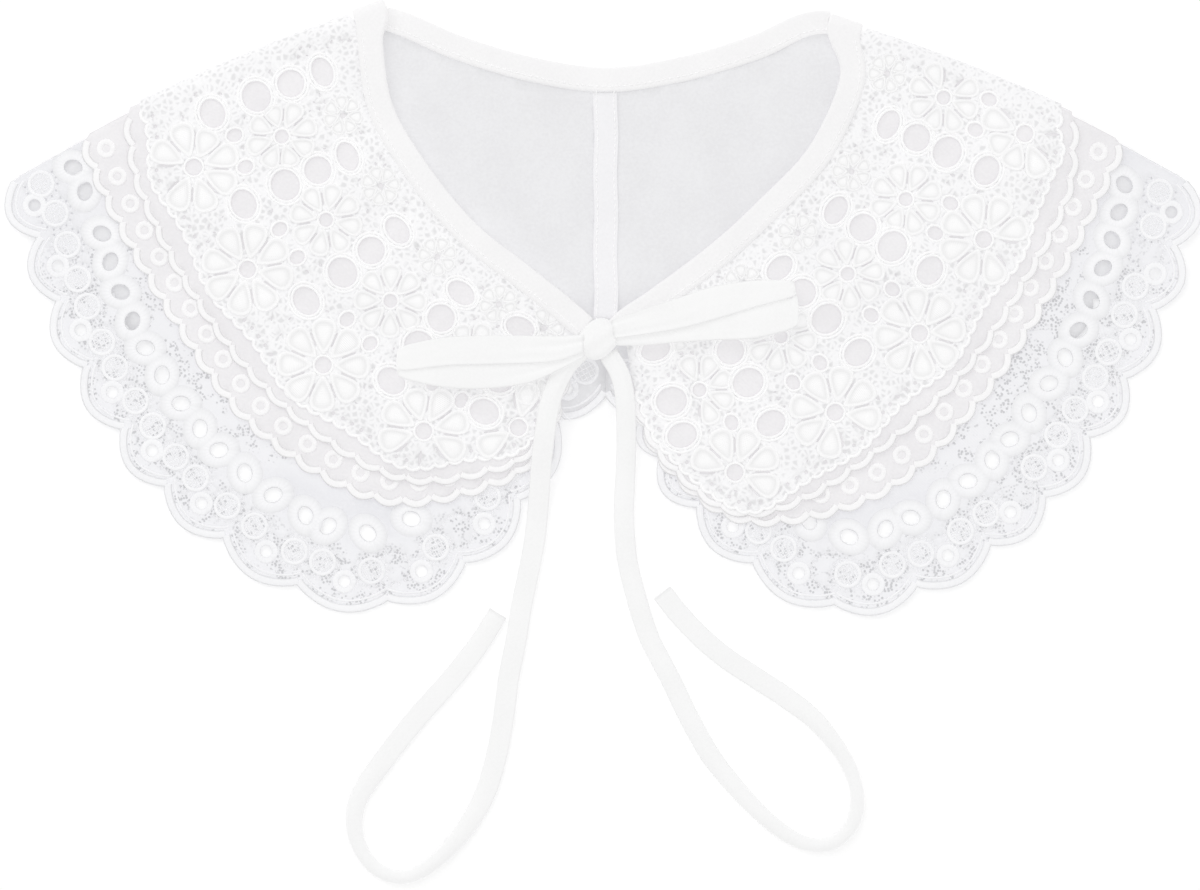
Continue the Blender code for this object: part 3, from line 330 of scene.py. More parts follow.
# Each finish's through is an emission strength, a painted glow that lifts the cloth's shade.
finishes = {
    "organza": {"colour": (0.73, 0.73, 0.748), "shade": (0.685, 0.685, 0.708), "rough": 0.62, "sheen": 0.2,
                "alpha": 0.76, "weave": 2600.0, "bump": 0.06, "through": 0.30, "worked": (0.757, 0.757, 0.771)},
    "tulle": {"colour": (0.742, 0.733, 0.742), "shade": (0.70, 0.69, 0.702), "rough": 0.66, "sheen": 0.2,
              "alpha": 0.84, "weave": 1800.0, "bump": 0.06, "through": 0.30},
    "backOrganza": {"colour": (0.70, 0.70, 0.712), "shade": (0.655, 0.652, 0.665), "rough": 0.62, "sheen": 0.2,
                    "alpha": 1.0, "weave": 1500.0, "bump": 0.03, "through": 0.28},
    "seamCloth": {"colour": (0.755, 0.75, 0.765), "shade": (0.72, 0.717, 0.73), "rough": 0.62, "sheen": 0.2,
                  "alpha": 1.0, "weave": 1500.0, "bump": 0.05, "through": 0.28},
    "laceThread": {"colour": (0.778, 0.776, 0.782), "shade": (0.735, 0.733, 0.742), "rough": 0.8, "sheen": 0.15,
                   "alpha": 1.0, "weave": 1400.0, "bump": 0.25, "through": 0.32, "netting": 0.25},
    "satinThread": {"colour": (0.82, 0.818, 0.82), "shade": (0.785, 0.783, 0.787), "rough": 0.55, "sheen": 0.2,
                    "alpha": 1.0, "weave": 1500.0, "bump": 0.25, "through": 0.32},
    "hemThread": {"colour": (0.777, 0.777, 0.788), "shade": (0.738, 0.738, 0.752), "rough": 0.6, "sheen": 0.2,
                  "alpha": 1.0, "weave": 1500.0, "bump": 0.25, "through": 0.31},
    "tierThread": {"colour": (0.795, 0.79, 0.795), "shade": (0.76, 0.755, 0.76), "rough": 0.6, "sheen": 0.2,
                   "alpha": 1.0, "weave": 1500.0, "bump": 0.25, "through": 0.31},
    "bindingTape": {"colour": (0.768, 0.764, 0.767), "shade": (0.735, 0.73, 0.735), "rough": 0.7, "sheen": 0.2,
                    "alpha": 1.0, "weave": 1500.0, "bump": 0.12, "through": 0.29},
    "ribbon": {"colour": (0.778, 0.778, 0.778), "shade": (0.75, 0.75, 0.75), "rough": 0.5, "sheen": 0.25,
               "alpha": 1.0, "weave": 2200.0, "bump": 0.08, "through": 0.29},
}


def workedGround(make, link, look, where, cloth):
    border = make("ShaderNodeAttribute", attribute_name="worked")
    whiter = make("ShaderNodeMix", data_type="RGBA")
    whiter.inputs[7].default_value = (*look["worked"], 1.0)
    link(cloth.outputs[2], whiter.inputs[6])
    link(border.outputs["Fac"], whiter.inputs[0])
    # painted shade: dark dots for the shadows in the stitch holes of the worked border
    pricks = make("ShaderNodeTexVoronoi", in_Scale=850.0)
    link(where.outputs["Object"], pricks.inputs["Vector"])
    dots = make("ShaderNodeMapRange", in_1=0.52, in_2=0.32)
    link(pricks.outputs["Distance"], dots.inputs[0])
    groups = make("ShaderNodeTexNoise", in_Scale=210.0, in_Detail=1.0)
    link(where.outputs["Object"], groups.inputs["Vector"])
    chosen = make("ShaderNodeMapRange", in_1=0.47, in_2=0.54)
    link(groups.outputs["Fac"], chosen.inputs[0])
    here = make("ShaderNodeMath", operation="MULTIPLY")
    link(dots.outputs[0], here.inputs[0])
    link(chosen.outputs[0], here.inputs[1])
    inside = make("ShaderNodeMath", operation="MULTIPLY")
    link(here.outputs[0], inside.inputs[0])
    dense = make("ShaderNodeMapRange", in_1=0.8, in_2=1.0)
    link(border.outputs["Fac"], dense.inputs[0])
    link(dense.outputs[0], inside.inputs[1])
    prickShadeMix = make("ShaderNodeMix", data_type="RGBA")
    prickShadeMix.inputs[7].default_value = tuple(v * 0.64 for v in look["shade"]) + (1.0,)
    link(whiter.outputs[2], prickShadeMix.inputs[6])
    link(inside.outputs[0], prickShadeMix.inputs[0])
    return prickShadeMix


def makeFinish(name, threadAlong=False):
    look = finishes[name]
    material = bpy.data.materials.new(name + ("Along" if threadAlong else ""))
    material.use_nodes = True
    make, link = nodeMaker(material)
    shader = material.node_tree.nodes["Principled BSDF"]
    shader.inputs["Roughness"].default_value = look["rough"]
    shader.inputs["Sheen Weight"].default_value = look["sheen"]
    shader.inputs["Sheen Roughness"].default_value = 0.5
    shader.inputs["Specular IOR Level"].default_value = 0.25
    shader.inputs["Alpha"].default_value = look["alpha"]
    shader.inputs["Emission Color"].default_value = (*look["colour"], 1.0)
    shader.inputs["Emission Strength"].default_value = look["through"]  # painted glow: the cloth emits its own colour to lift its shade, standing in for light passing thin cloth
    where = make("ShaderNodeTexCoord")
    cloudy = make("ShaderNodeTexNoise", in_Scale=55.0, in_Detail=3.0)
    fine = make("ShaderNodeTexNoise", in_Scale=900.0, in_Detail=2.0)
    link(where.outputs["Object"], cloudy.inputs["Vector"])
    link(where.outputs["Object"], fine.inputs["Vector"])
    both = make("ShaderNodeMath", operation="ADD")
    link(cloudy.outputs["Fac"], both.inputs[0])
    link(fine.outputs["Fac"], both.inputs[1])
    spread = make("ShaderNodeMapRange", in_1=0.75, in_2=1.25)
    link(both.outputs[0], spread.inputs[0])
    tint = make("ShaderNodeMix", data_type="RGBA")
    tint.inputs[6].default_value = (*look["shade"], 1.0)
    tint.inputs[7].default_value = (*look["colour"], 1.0)
    link(spread.outputs[0], tint.inputs[0])
    paintedShadeMix = make("ShaderNodeMix", data_type="RGBA")     # painted shade: the hollows and outer edges of raised work are darker
    paintedShadeMix.inputs[7].default_value = tuple(v * 0.85 for v in look["shade"]) + (1.0,)
    hollow = make("ShaderNodeAttribute", attribute_name="hollow")
    link(tint.outputs[2], paintedShadeMix.inputs[6])
    link(hollow.outputs["Fac"], paintedShadeMix.inputs[0])
    painted = paintedShadeMix
    if "worked" in look:                # the embroidered border is whiter, with dots of painted shade for the shadows in its stitch holes
        painted = workedGround(make, link, look, where, paintedShadeMix)
    if "netting" in look:               # fine netted ground between the motifs
        cells = make("ShaderNodeTexVoronoi", feature="DISTANCE_TO_EDGE", in_Scale=430.0)
        link(where.outputs["Object"], cells.inputs["Vector"])
        opened = make("ShaderNodeMapRange", in_1=0.10, in_2=0.34, in_4=look["netting"] * 3)
        link(cells.outputs["Distance"], opened.inputs[0])
        painted = make("ShaderNodeMix", data_type="RGBA")
        painted.inputs[7].default_value = tuple(v * 0.74 for v in look["shade"]) + (1.0,)
        link(paintedShadeMix.outputs[2], painted.inputs[6])
        link(opened.outputs[0], painted.inputs[0])
    link(painted.outputs[2], shader.inputs["Base Color"])
    if threadAlong:                     # satin stitches lie across the path, one after the other
        reader = make("ShaderNodeAttribute", attribute_name="along")
        wave = make("ShaderNodeMath", operation="SINE")
        scaled = make("ShaderNodeMath", operation="MULTIPLY", in_1=2 * math.pi / 0.65)
        link(reader.outputs["Fac"], scaled.inputs[0])
        link(scaled.outputs[0], wave.inputs[0])
        pattern = wave.outputs[0]
    else:                               # plain weave, over and under in both directions
        parts = make("ShaderNodeSeparateXYZ")
        link(where.outputs["Object"], parts.inputs[0])
        waves = []
        for axis in (0, 1):
            scaled = make("ShaderNodeMath", operation="MULTIPLY", in_1=look["weave"] * 2)
            wave = make("ShaderNodeMath", operation="SINE")
            link(parts.outputs[axis], scaled.inputs[0])
            link(scaled.outputs[0], wave.inputs[0])
            waves.append(wave)
        product = make("ShaderNodeMath", operation="MULTIPLY")
        link(waves[0].outputs[0], product.inputs[0])
        link(waves[1].outputs[0], product.inputs[1])
        pattern = product.outputs[0]
    bump = make("ShaderNodeBump", in_Strength=look["bump"], in_Distance=0.00025)
    link(pattern, bump.inputs["Height"])
    link(bump.outputs[0], shader.inputs["Normal"])
    return material


materials = {name: makeFinish(name) for name in finishes}
materials["satinAlong"] = makeFinish("satinThread", threadAlong=True)
materials["hemAlong"] = makeFinish("hemThread", threadAlong=True)
materials["tierAlong"] = makeFinish("tierThread", threadAlong=True)


# Triangles of a flat piece with openings. Creases and loose points inside it let it bend.
def cutCloth(outline, holes=(), loose=(), creases=()):
    points = [Vector(p) for p in np.asarray(outline, float)]
    edges = [(k, (k + 1) % len(points)) for k in range(len(points))]
    for crease in creases:
        start = len(points)
        points.extend(Vector(p) for p in crease)
        edges.extend((start + k, start + k + 1) for k in range(len(crease) - 1))
    for hole in holes:
        start = len(points)
        points.extend(Vector(p) for p in hole)
        edges.extend((start + k, start + (k + 1) % len(hole)) for k in range(len(hole)))
    points.extend(Vector(p) for p in loose)
    corners, _, faces, _, _, _ = delaunay_2d_cdt(points, edges, [], 0, 1e-4)
    corners = np.array([tuple(c) for c in corners])
    faces = np.array(faces)
    middles = corners[faces].mean(1)
    kept = within(middles, np.asarray(outline, float))
    order = np.argsort(middles[:, 0])
    ranked = middles[order, 0]
    for hole in holes:
        low, high = hole.min(0), hole.max(0)
        near = order[np.searchsorted(ranked, low[0]):np.searchsorted(ranked, high[0])]
        near = near[(middles[near, 1] > low[1]) & (middles[near, 1] < high[1])]
        if len(near):
            kept[near] &= ~within(middles[near], hole)
    faces = faces[kept]
    a, b, c = corners[faces[:, 0]], corners[faces[:, 1]], corners[faces[:, 2]]
    area = (b - a)[:, 0] * (c - a)[:, 1] - (b - a)[:, 1] * (c - a)[:, 0]
    faces[area < 0] = faces[area < 0][:, ::-1]
    faces = faces[np.abs(area) > 1e-6]
    used, faces = np.unique(faces, return_inverse=True)
    return corners[used], faces.reshape(-1, 3)


def loosePoints(outline, holes, step):
    low, high = outline.min(0), outline.max(0)
    rows = []
    for k, y in enumerate(np.arange(low[1], high[1], step * 0.87)):
        xs = np.arange(low[0] + (k % 2) * step / 2, high[0], step)
        rows.append(np.column_stack((xs, np.full(len(xs), y))))
    points = np.vstack(rows)
    points = points[within(points, outline)]
    points = points[offLine(points, outline, True)[0] > step * 0.45]
    for hole in holes:
        centre = hole.mean(0)
        reach = np.hypot(*(hole - centre).T).max() + step * 0.3
        points = points[np.hypot(*(points - centre).T) > reach]
    return points


def newObject(name, points, faces, material, smooth=True):
    mesh = bpy.data.meshes.new(name)
    mesh.from_pydata([tuple(p) for p in points], [], [tuple(int(i) for i in f) for f in faces])
    mesh.validate()
    mesh.update()
    if smooth:
        mesh.polygons.foreach_set("use_smooth", [True] * len(mesh.polygons))
    mesh.materials.append(material)
    item = bpy.data.objects.new(name, mesh)
    bpy.context.scene.collection.objects.link(item)
    return item


# A closed thin shell: both faces of the cloth and its cut edges.
def makeShell(name, corners, faces, lay, thickness, material, lift=0.0):
    top = lay(corners, lift + thickness / 2)
    low = lay(corners, lift - thickness / 2)
    count = len(corners)
    directed = {}
    for a, b, c in faces:
        for edge in ((a, b), (b, c), (c, a)):
            directed[edge] = True
    walls = [(a + count, b + count, b, a) for a, b in directed if (b, a) not in directed]
    allFaces = [tuple(f) for f in faces] + [tuple(f[::-1] + count) for f in faces] + walls
    item = newObject(name, toMetres(np.vstack((top, low))), allFaces, material, smooth=False)
    smooth = [True] * (2 * len(faces)) + [False] * len(walls)
    item.data.polygons.foreach_set("use_smooth", smooth[:len(item.data.polygons)])
    item["flatArea"] = float(areaOf(corners, faces))
    return item


def areaOf(corners, faces):
    a, b, c = corners[faces[:, 0]], corners[faces[:, 1]], corners[faces[:, 2]]
    return np.abs((b - a)[:, 0] * (c - a)[:, 1] - (b - a)[:, 1] * (c - a)[:, 0]).sum() / 2


# Geometry Nodes. Each tree ends in Realize Instances and Set Material, and its result is kept as a mesh.
def startTree(name, inputs):
    tree = bpy.data.node_groups.new(name, "GeometryNodeTree")
    tree.interface.new_socket(name="Geometry", in_out="INPUT", socket_type="NodeSocketGeometry")
    for label, kind in inputs:
        tree.interface.new_socket(name=label, in_out="INPUT", socket_type=kind)
    tree.interface.new_socket(name="Geometry", in_out="OUTPUT", socket_type="NodeSocketGeometry")
    return tree, tree.nodes.new("NodeGroupInput"), tree.nodes.new("NodeGroupOutput")


def endTree(tree, groupIn, groupOut, last):
    real = tree.nodes.new("GeometryNodeRealizeInstances")
    painted = tree.nodes.new("GeometryNodeSetMaterial")
    tree.links.new(last, real.inputs[0])
    tree.links.new(real.outputs[0], painted.inputs["Geometry"])
    tree.links.new(groupIn.outputs["Finish"], painted.inputs["Material"])
    tree.links.new(painted.outputs[0], groupOut.inputs[0])


def motifTree():                        # one motif on each point, turned and sized by the point's attributes
    tree, groupIn, groupOut = startTree("motifOnPoints", (("Motif", "NodeSocketObject"), ("Finish", "NodeSocketMaterial")))
    info = tree.nodes.new("GeometryNodeObjectInfo")
    place = tree.nodes.new("GeometryNodeInstanceOnPoints")
    turn = tree.nodes.new("GeometryNodeInputNamedAttribute")
    turn.data_type = "FLOAT"
    turn.inputs["Name"].default_value = "turn"
    size = tree.nodes.new("GeometryNodeInputNamedAttribute")
    size.data_type = "FLOAT_VECTOR"
    size.inputs["Name"].default_value = "size"
    angles = tree.nodes.new("ShaderNodeCombineXYZ")
    rotation = tree.nodes.new("FunctionNodeEulerToRotation")
    tree.links.new(groupIn.outputs["Motif"], info.inputs["Object"])
    tree.links.new(groupIn.outputs["Geometry"], place.inputs["Points"])
    tree.links.new(info.outputs["Geometry"], place.inputs["Instance"])
    tree.links.new(turn.outputs["Attribute"], angles.inputs["Z"])
    tree.links.new(angles.outputs[0], rotation.inputs[0])
    tree.links.new(rotation.outputs[0], place.inputs["Rotation"])
    tree.links.new(size.outputs["Attribute"], place.inputs["Scale"])
    endTree(tree, groupIn, groupOut, place.outputs[0])
    return tree


def cordTree():                         # an oval cord or stitched band along a path
    inputs = (("Width", "NodeSocketFloat"), ("Height", "NodeSocketFloat"), ("Step", "NodeSocketFloat"),
              ("Corners", "NodeSocketInt"), ("Finish", "NodeSocketMaterial"))
    tree, groupIn, groupOut = startTree("cordAlongPath", inputs)
    curve = tree.nodes.new("GeometryNodeMeshToCurve")
    even = tree.nodes.new("GeometryNodeResampleCurve")
    upright = tree.nodes.new("GeometryNodeSetCurveNormal")
    upright.mode = "Z_UP"
    travel = tree.nodes.new("GeometryNodeSplineParameter")
    keep = tree.nodes.new("GeometryNodeStoreNamedAttribute")
    keep.data_type = "FLOAT"
    keep.domain = "POINT"
    keep.inputs["Name"].default_value = "along"
    profile = tree.nodes.new("GeometryNodeCurvePrimitiveCircle")
    profile.inputs["Radius"].default_value = 0.5
    shape = tree.nodes.new("GeometryNodeTransform")
    sizes = tree.nodes.new("ShaderNodeCombineXYZ")
    solid = tree.nodes.new("GeometryNodeCurveToMesh")
    solid.inputs["Fill Caps"].default_value = True
    tree.links.new(groupIn.outputs["Geometry"], curve.inputs[0])
    tree.links.new(curve.outputs[0], even.inputs["Curve"])
    even.mode = "LENGTH"
    tree.links.new(groupIn.outputs["Step"], even.inputs["Length"])
    tree.links.new(even.outputs[0], upright.inputs["Curve"])
    tree.links.new(upright.outputs[0], keep.inputs["Geometry"])
    tree.links.new(travel.outputs["Length"], keep.inputs["Value"])
    tree.links.new(groupIn.outputs["Corners"], profile.inputs["Resolution"])
    tree.links.new(groupIn.outputs["Width"], sizes.inputs["X"])
    tree.links.new(groupIn.outputs["Height"], sizes.inputs["Y"])
    sizes.inputs["Z"].default_value = 1.0
    tree.links.new(profile.outputs[0], shape.inputs["Geometry"])
    tree.links.new(sizes.outputs[0], shape.inputs["Scale"])
    tree.links.new(keep.outputs[0], solid.inputs["Curve"])
    tree.links.new(shape.outputs[0], solid.inputs["Profile Curve"])
    endTree(tree, groupIn, groupOut, solid.outputs[0])
    return tree


trees = {"motif": motifTree(), "cord": cordTree()}


def bake(name, source, tree, values):
    layer = source.modifiers.new("build", "NODES")
    layer.node_group = tree
    for item in tree.interface.items_tree:
        if getattr(item, "in_out", "") == "INPUT" and item.name in values:
            layer[item.identifier] = values[item.name]
    source.update_tag()
    graph = bpy.context.evaluated_depsgraph_get()
    mesh = bpy.data.meshes.new_from_object(source.evaluated_get(graph), depsgraph=graph)
    mesh.name = name
    bpy.data.objects.remove(source, do_unlink=True)
    result = bpy.data.objects.new(name, mesh)
    bpy.context.scene.collection.objects.link(result)
    return result


# Moves a piece made flat, in plan millimetres, to where its layer lies.
def layPiece(item, lay, lift):
    mesh = item.data
    flat = np.empty(len(mesh.vertices) * 3)
    mesh.vertices.foreach_get("co", flat)
    flat = flat.reshape(-1, 3)
    mesh.vertices.foreach_set("co", toMetres(lay(flat[:, :2].copy(), flat[:, 2] + lift)).ravel())
    mesh.polygons.foreach_set("use_smooth", [True] * len(mesh.polygons))
    mesh.update()
    return item


def sprinkle(name, motif, spots, finish, lay, lift):
    places = newObject(name + "Places", [(x, y, 0.0) for x, y, *_ in spots], [], finish, smooth=False)
    turn = places.data.attributes.new("turn", "FLOAT", "POINT")
    turn.data.foreach_set("value", [float(s[2]) for s in spots])
    size = places.data.attributes.new("size", "FLOAT_VECTOR", "POINT")
    size.data.foreach_set("vector", [float(v) for s in spots for v in s[3:6]])
    return layPiece(bake(name, places, trees["motif"], {"Motif": motif, "Finish": finish}), lay, lift)


def runCords(name, paths, width, height, step, finish, lay, lift, corners=6):
    points, edges = [], []
    for path, closed in paths:
        start = len(points)
        points.extend((float(p[0]), float(p[1]), 0.0) for p in path)
        edges.extend((start + k, start + k + 1) for k in range(len(path) - 1))
        if closed:
            edges.append((start + len(path) - 1, start))
    mesh = bpy.data.meshes.new(name)
    mesh.from_pydata(points, edges, [])
    source = bpy.data.objects.new(name + "Path", mesh)
    bpy.context.scene.collection.objects.link(source)
    values = {"Width": width, "Height": height, "Step": step, "Corners": corners, "Finish": finish}
    return layPiece(bake(name, source, trees["cord"], values), lay, lift)


def triangleCount(item):
    return sum(len(face.vertices) - 2 for face in item.data.polygons)


pieces = {}


def keep(item, slot, *nodes):
    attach(item, "root")
    if nodes:
        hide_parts(*nodes)
    pieces[item.name] = item
    return item


# Motifs in unit size, lying flat, closed.
ringSection = ((1.0, 0.0), (0.94, 0.75), (0.72, 1.0), (0.40, 0.95), (0.08, 0.6), (0.0, 0.0))
padSection = ((1.0, 0.0), (0.97, 0.25), (0.70, 0.55), (0.34, 1.0), (0.08, 0.8), (0.0, 0.0))


def ringMotif(name, inner, around=20, section=ringSection, rim=0.0):
    points, faces = [], []
    for k in range(around):
        a = 2 * math.pi * k / around
        for share, z in section:
            r = inner + (1 - inner) * share
            points.append((r * math.cos(a), r * math.sin(a), z))
    count = len(section)
    for k in range(around):
        j = (k + 1) % around
        for m in range(count):
            n = (m + 1) % count
            faces.append((k * count + m, j * count + m, j * count + n, k * count + n))
    item = newObject(name, points, faces, materials["satinThread"])
    along = item.data.attributes.new("along", "FLOAT", "POINT")
    along.data.foreach_set("value", [k // count * 0.62 for k in range(len(points))])
    # rim sets how much painted shade darkens the motif towards its outer edge
    hollow = item.data.attributes.new("hollow", "FLOAT", "POINT")
    hollow.data.foreach_set("value", [rim * max(0.0, share - 0.4) for _ in range(around) for share, z in section])
    item.hide_render = True
    return item


# A petal along x from 0 to 1: a corded rim round a padded middle that dips before it.
def petalMotif(name, roundness):
    count = 18
    outline = []
    for k in range(count):
        a = 2 * math.pi * k / count
        x = 0.5 - 0.5 * math.cos(a)
        wide = max(0.05, 0.53 * x ** roundness * math.sqrt(max(0.0, 1 - x ** 5)))
        outline.append((x, math.copysign(wide, math.sin(a)) if abs(math.sin(a)) > 1e-6 else 0.0))
    outline = np.array(outline)
    middle = np.array((0.60, 0.0))
    points, faces = [], []
    for shrink, z in ((1.0, 0.0), (1.0, 0.65), (0.92, 1.0), (0.82, 0.72), (0.70, 0.30), (0.36, 0.62)):
        for p in outline:
            q = middle + (p - middle) * shrink
            points.append((q[0], q[1], z))
    rows = 6
    for m in range(rows - 1):
        for k in range(count):
            j = (k + 1) % count
            faces.append((m * count + j, m * count + k, (m + 1) * count + k, (m + 1) * count + j))
    points.append((middle[0], 0.0, 0.85))
    top = len(points) - 1
    for k in range(count):
        faces.append(((rows - 1) * count + (k + 1) % count, (rows - 1) * count + k, top))
    faces.append(tuple(range(count)))
    item = newObject(name, points, faces, materials["satinThread"])
    along = item.data.attributes.new("along", "FLOAT", "POINT")
    along.data.foreach_set("value", [p[0] * 14.0 for p in points])
    # painted shade: darkest at the petal's outer edge and in the groove before its padded middle
    hollow = item.data.attributes.new("hollow", "FLOAT", "POINT")
    hollow.data.foreach_set("value", [v for v in (1.0, 0.5, 0.0, 0.35, 0.9, 0.2) for _ in range(count)] + [0.1])
    item.hide_render = True
    return item


motifs = {"eyelet": ringMotif("eyeletMotif", 0.50), "smallRing": ringMotif("smallRingMotif", 0.42),
          "thinRing": ringMotif("thinRingMotif", 0.74, 28), "pad": ringMotif("padMotif", 0.42, 24, padSection, 1.3), "petal": petalMotif("petalMotif", 0.72)}


def scallops(notches, depth, count):
    points, spans = [], []
    for start, end in zip(notches[:-1], notches[1:]):
        width = np.hypot(*(end - start))
        along = (end - start) / width
        out = np.array((along[1], -along[0]))
        middle = (start + end) / 2
        if out @ (middle - np.array((0.0, 60.0))) < 0:
            out = -out
        swell = depth * min(1.0, width / (3.2 * depth))
        u = np.arange(count) / count
        points.append(start + np.outer(u, end - start) + np.outer(swell * np.sin(math.pi * u) ** 0.8, out))
        spans.append((middle, along, out, width, swell))
    points.append(notches[-1:])
    return np.vstack(points), spans


# A line inside the edge of each scallop, for its stitched band.
def insideScallops(spans, inset, count):
    paths = []
    for middle, along, out, width, swell in spans:
        u = np.linspace(0, 1, count)
        bulge = swell * np.sin(math.pi * u) ** 0.8 - inset
        paths.append((middle + np.outer((u - 0.5) * (width - inset * 0.6), along) + np.outer(bulge, out), False))
    return paths


def oval(centre, length, width, angle, count):
    a = 2 * math.pi * (np.arange(count) + 0.5) / count
    x, y = length / 2 * np.cos(a), width / 2 * np.sin(a)
    return centre + np.column_stack((x * math.cos(angle) - y * math.sin(angle), x * math.sin(angle) + y * math.cos(angle)))


def foldNormalAt(side, shares):
    return np.column_stack([np.interp(shares, foldShares, foldOut[side][:, k]) for k in (0, 1)])


lastRow = 7.0
tierColumns = {"lace": 4, "narrow": 5, "ring": 6}
laceLines = {"left": {"daisies": (1.0, 2.0, 3.0, 4.0, 5.0), "ovals": (0.42, 1.5, 2.5, 3.5, 4.5)},
             "right": {"daisies": (0.58, 2.0, 3.0, 4.0, 5.0), "ovals": (1.33, 2.5, 3.5, 4.5, 5.55)}}


def edgeShare(side, tier, s):
    if tier == "base":
        return np.ones_like(np.asarray(s, float))
    row = rowAt(frontGuides[side], s)
    share = row[..., tierColumns[tier]]
    if tier == "lace":                  # the edge swells round each large daisy
        s = np.asarray(s, float)
        apart = np.min([np.abs(s - line) for line in laceLines[side]["daisies"]], axis=0)
        swell = 1.6 * np.cos(math.pi * np.minimum(1.0, 2 * apart)) * np.minimum(1.0, s / 0.15)
        share = share + swell / np.hypot(row[..., 2] - row[..., 0], row[..., 3] - row[..., 1])
    return share


def edgeLine(side, tier, step, inset=0.0):
    s = np.linspace(0, lastRow, 900)
    line = onGuide(frontGuides[side], s, edgeShare(side, tier, s))
    if inset:
        across = acrossOf(line)
        toNeck = np.array((0.0, 60.0)) - line
        across = across * np.where((across * toNeck).sum(1) < 0, -1.0, 1.0)[:, None]
        line = line + across * inset
    return evenly(line, step)


# Outline of a front tier: down the shoulder, along its edge, up the front and back along the neck.
def tierOutline(side, tier, edge, past):
    rows = frontGuides[side]
    endShare = float(edgeShare(side, tier, 0.0))
    shares = np.linspace(0.0, endShare, 34)
    shoulder = onGuide(rows, 0.0, shares) + foldNormalAt(side, shares) * past
    front = onGuide(rows, lastRow, float(edgeShare(side, tier, lastRow)) * np.array((0.66, 0.33)))
    neck = evenly(onGuide(rows, np.linspace(0, lastRow, 200), 0.0), 5.0)[::-1]
    creases = []
    step = 1.0 if past < 5 else 2.2
    for reach in np.arange(0.0, past - 0.3, step):
        line = onGuide(rows, 0.0, shares[1:-1]) + foldNormalAt(side, shares[1:-1]) * reach
        creases.append(line)
    return np.vstack((shoulder, edge, front, neck)), creases


# The layers lie closer together than the CAD solids, which have a gap between each two.
settle = {0: 0.0, 1: 0.05, 2: 0.15, 3: -0.25}


def layerOf(side, order):
    return lambda flat, height: layFront(flat, height + settle[order], side, order)


def foldReach(order, lip):
    return math.pi * (layerGap / 2 + layerStep * order + clothWall / 2) + lip


def nearHoles(points, holes, gap):
    if not len(points) or not len(holes):
        return np.zeros(len(points), bool)
    centres = np.array([h.mean(0) for h in holes])
    reach = np.array([np.hypot(*(h - h.mean(0)).T).max() for h in holes])
    apart = np.hypot(points[:, None, 0] - centres[None, :, 0], points[:, None, 1] - centres[None, :, 1])
    return (apart < reach[None] + gap).any(1)


# The base leaf: organza front and back in one, with a stitched scalloped hem and a row of eyelets.
baseLook = {"thickness": 0.3, "scallopDepth": 7.5, "hemBand": 3.0, "backScallop": 30.0,
            "round": (0.0, 4.4, 4.6, 4.6, 0.0), "ovals": ((-0.28, 24.3, 7.7, 5.4, 52.0), (0.16, 24.3, 7.7, 5.4, -38.0)),
            "eyeletWall": 2.3, "padWall": 4.5, "scroll": (0.27, 10.3, 5.3),
            "workedTo": (21.0, 28.0), "smoothTo": (26.0, 40.0)}
flatSizes = {}


def hemEyelets(spans, outline):
    found = []
    for middle, along, out, width, swell in spans:
        for share, inward, length, wide, turn in (baseLook["round"], *baseLook["ovals"]):
            centre = middle + along * share * width - out * inward
            angle = math.atan2(along[1], along[0]) + math.radians(turn)
            hole = oval(centre, length, wide, angle, 16)
            clear = within(hole, outline).all() and offLine(hole, outline, True)[0].min() > 1.2
            if clear and all(np.hypot(*(centre - h[0].mean(0))) > 9.0 for h in found):
                found.append((hole, centre, length, wide, angle))
    return found


def hemWork(name, spans, eyelets, lay, shown):
    wall = baseLook["eyeletWall"]
    bands = runCords("hemBand" + name, insideScallops(spans, 1.5, 26), baseLook["hemBand"], 0.75, 1.1,
                     materials["hemAlong"], lay, 0.18)
    keep(bands, "cotton_lace")
    inner = runCords("hemLine" + name, insideScallops(spans, 4.6, 20), 0.8, 0.5, 1.6, materials["hemThread"], lay, 0.2)
    keep(inner, "cotton_lace")
    rounds = [e for e in eyelets if e[2] == e[3]]
    longs = [e for e in eyelets if e[2] != e[3]]
    spots = [(*c, angle, length / 2 + wall, wide / 2 + wall, 0.32) for _, c, length, wide, angle in rounds]
    keep(sprinkle("hemEyelets" + name, motifs["eyelet"], spots, materials["hemAlong"], lay, 0.12), "cotton_lace")
    wall = baseLook["padWall"]
    spots = [(*c, angle, length / 2 + wall, wide / 2 + wall * 0.92, 0.32 + 0.05 * (k % 2))
             for k, (_, c, length, wide, angle) in enumerate(longs)]
    if spots:
        keep(sprinkle("hemPads" + name, motifs["pad"], spots, materials["hemAlong"], lay, 0.12), "cotton_lace")
    share, inward, radius = baseLook["scroll"]
    loops = []
    for middle, along, out, width, swell in spans[shown]:
        if width < 20:
            continue
        for way in (-1, 1):
            centre = middle + along * way * share * width - out * inward
            if all(np.hypot(*(centre - l[:2])) > 2.05 * radius for l in loops):
                loops.append((*centre, 0.0, radius, radius, 0.38))
    nets = []
    for x, y, *_ in loops:
        for turn in (0.5, 0.5 + math.pi / 2):
            way, side = np.array((math.cos(turn), math.sin(turn))), np.array((-math.sin(turn), math.cos(turn)))
            for offset in (-2.7, -0.9, 0.9, 2.7):
                half = math.sqrt(4.1 ** 2 - offset ** 2)
                nets.append((np.array((x, y)) + side * offset + np.outer((-half, 0.0, half), way), False))
    if nets:
        keep(runCords("hemNets" + name, nets, 0.42, 0.3, 2.4, materials["hemThread"], lay, 0.16, 4), "cotton_lace")
    if loops:
        keep(sprinkle("hemScrolls" + name, motifs["thinRing"], loops, materials["hemAlong"], lay, 0.15), "cotton_lace")


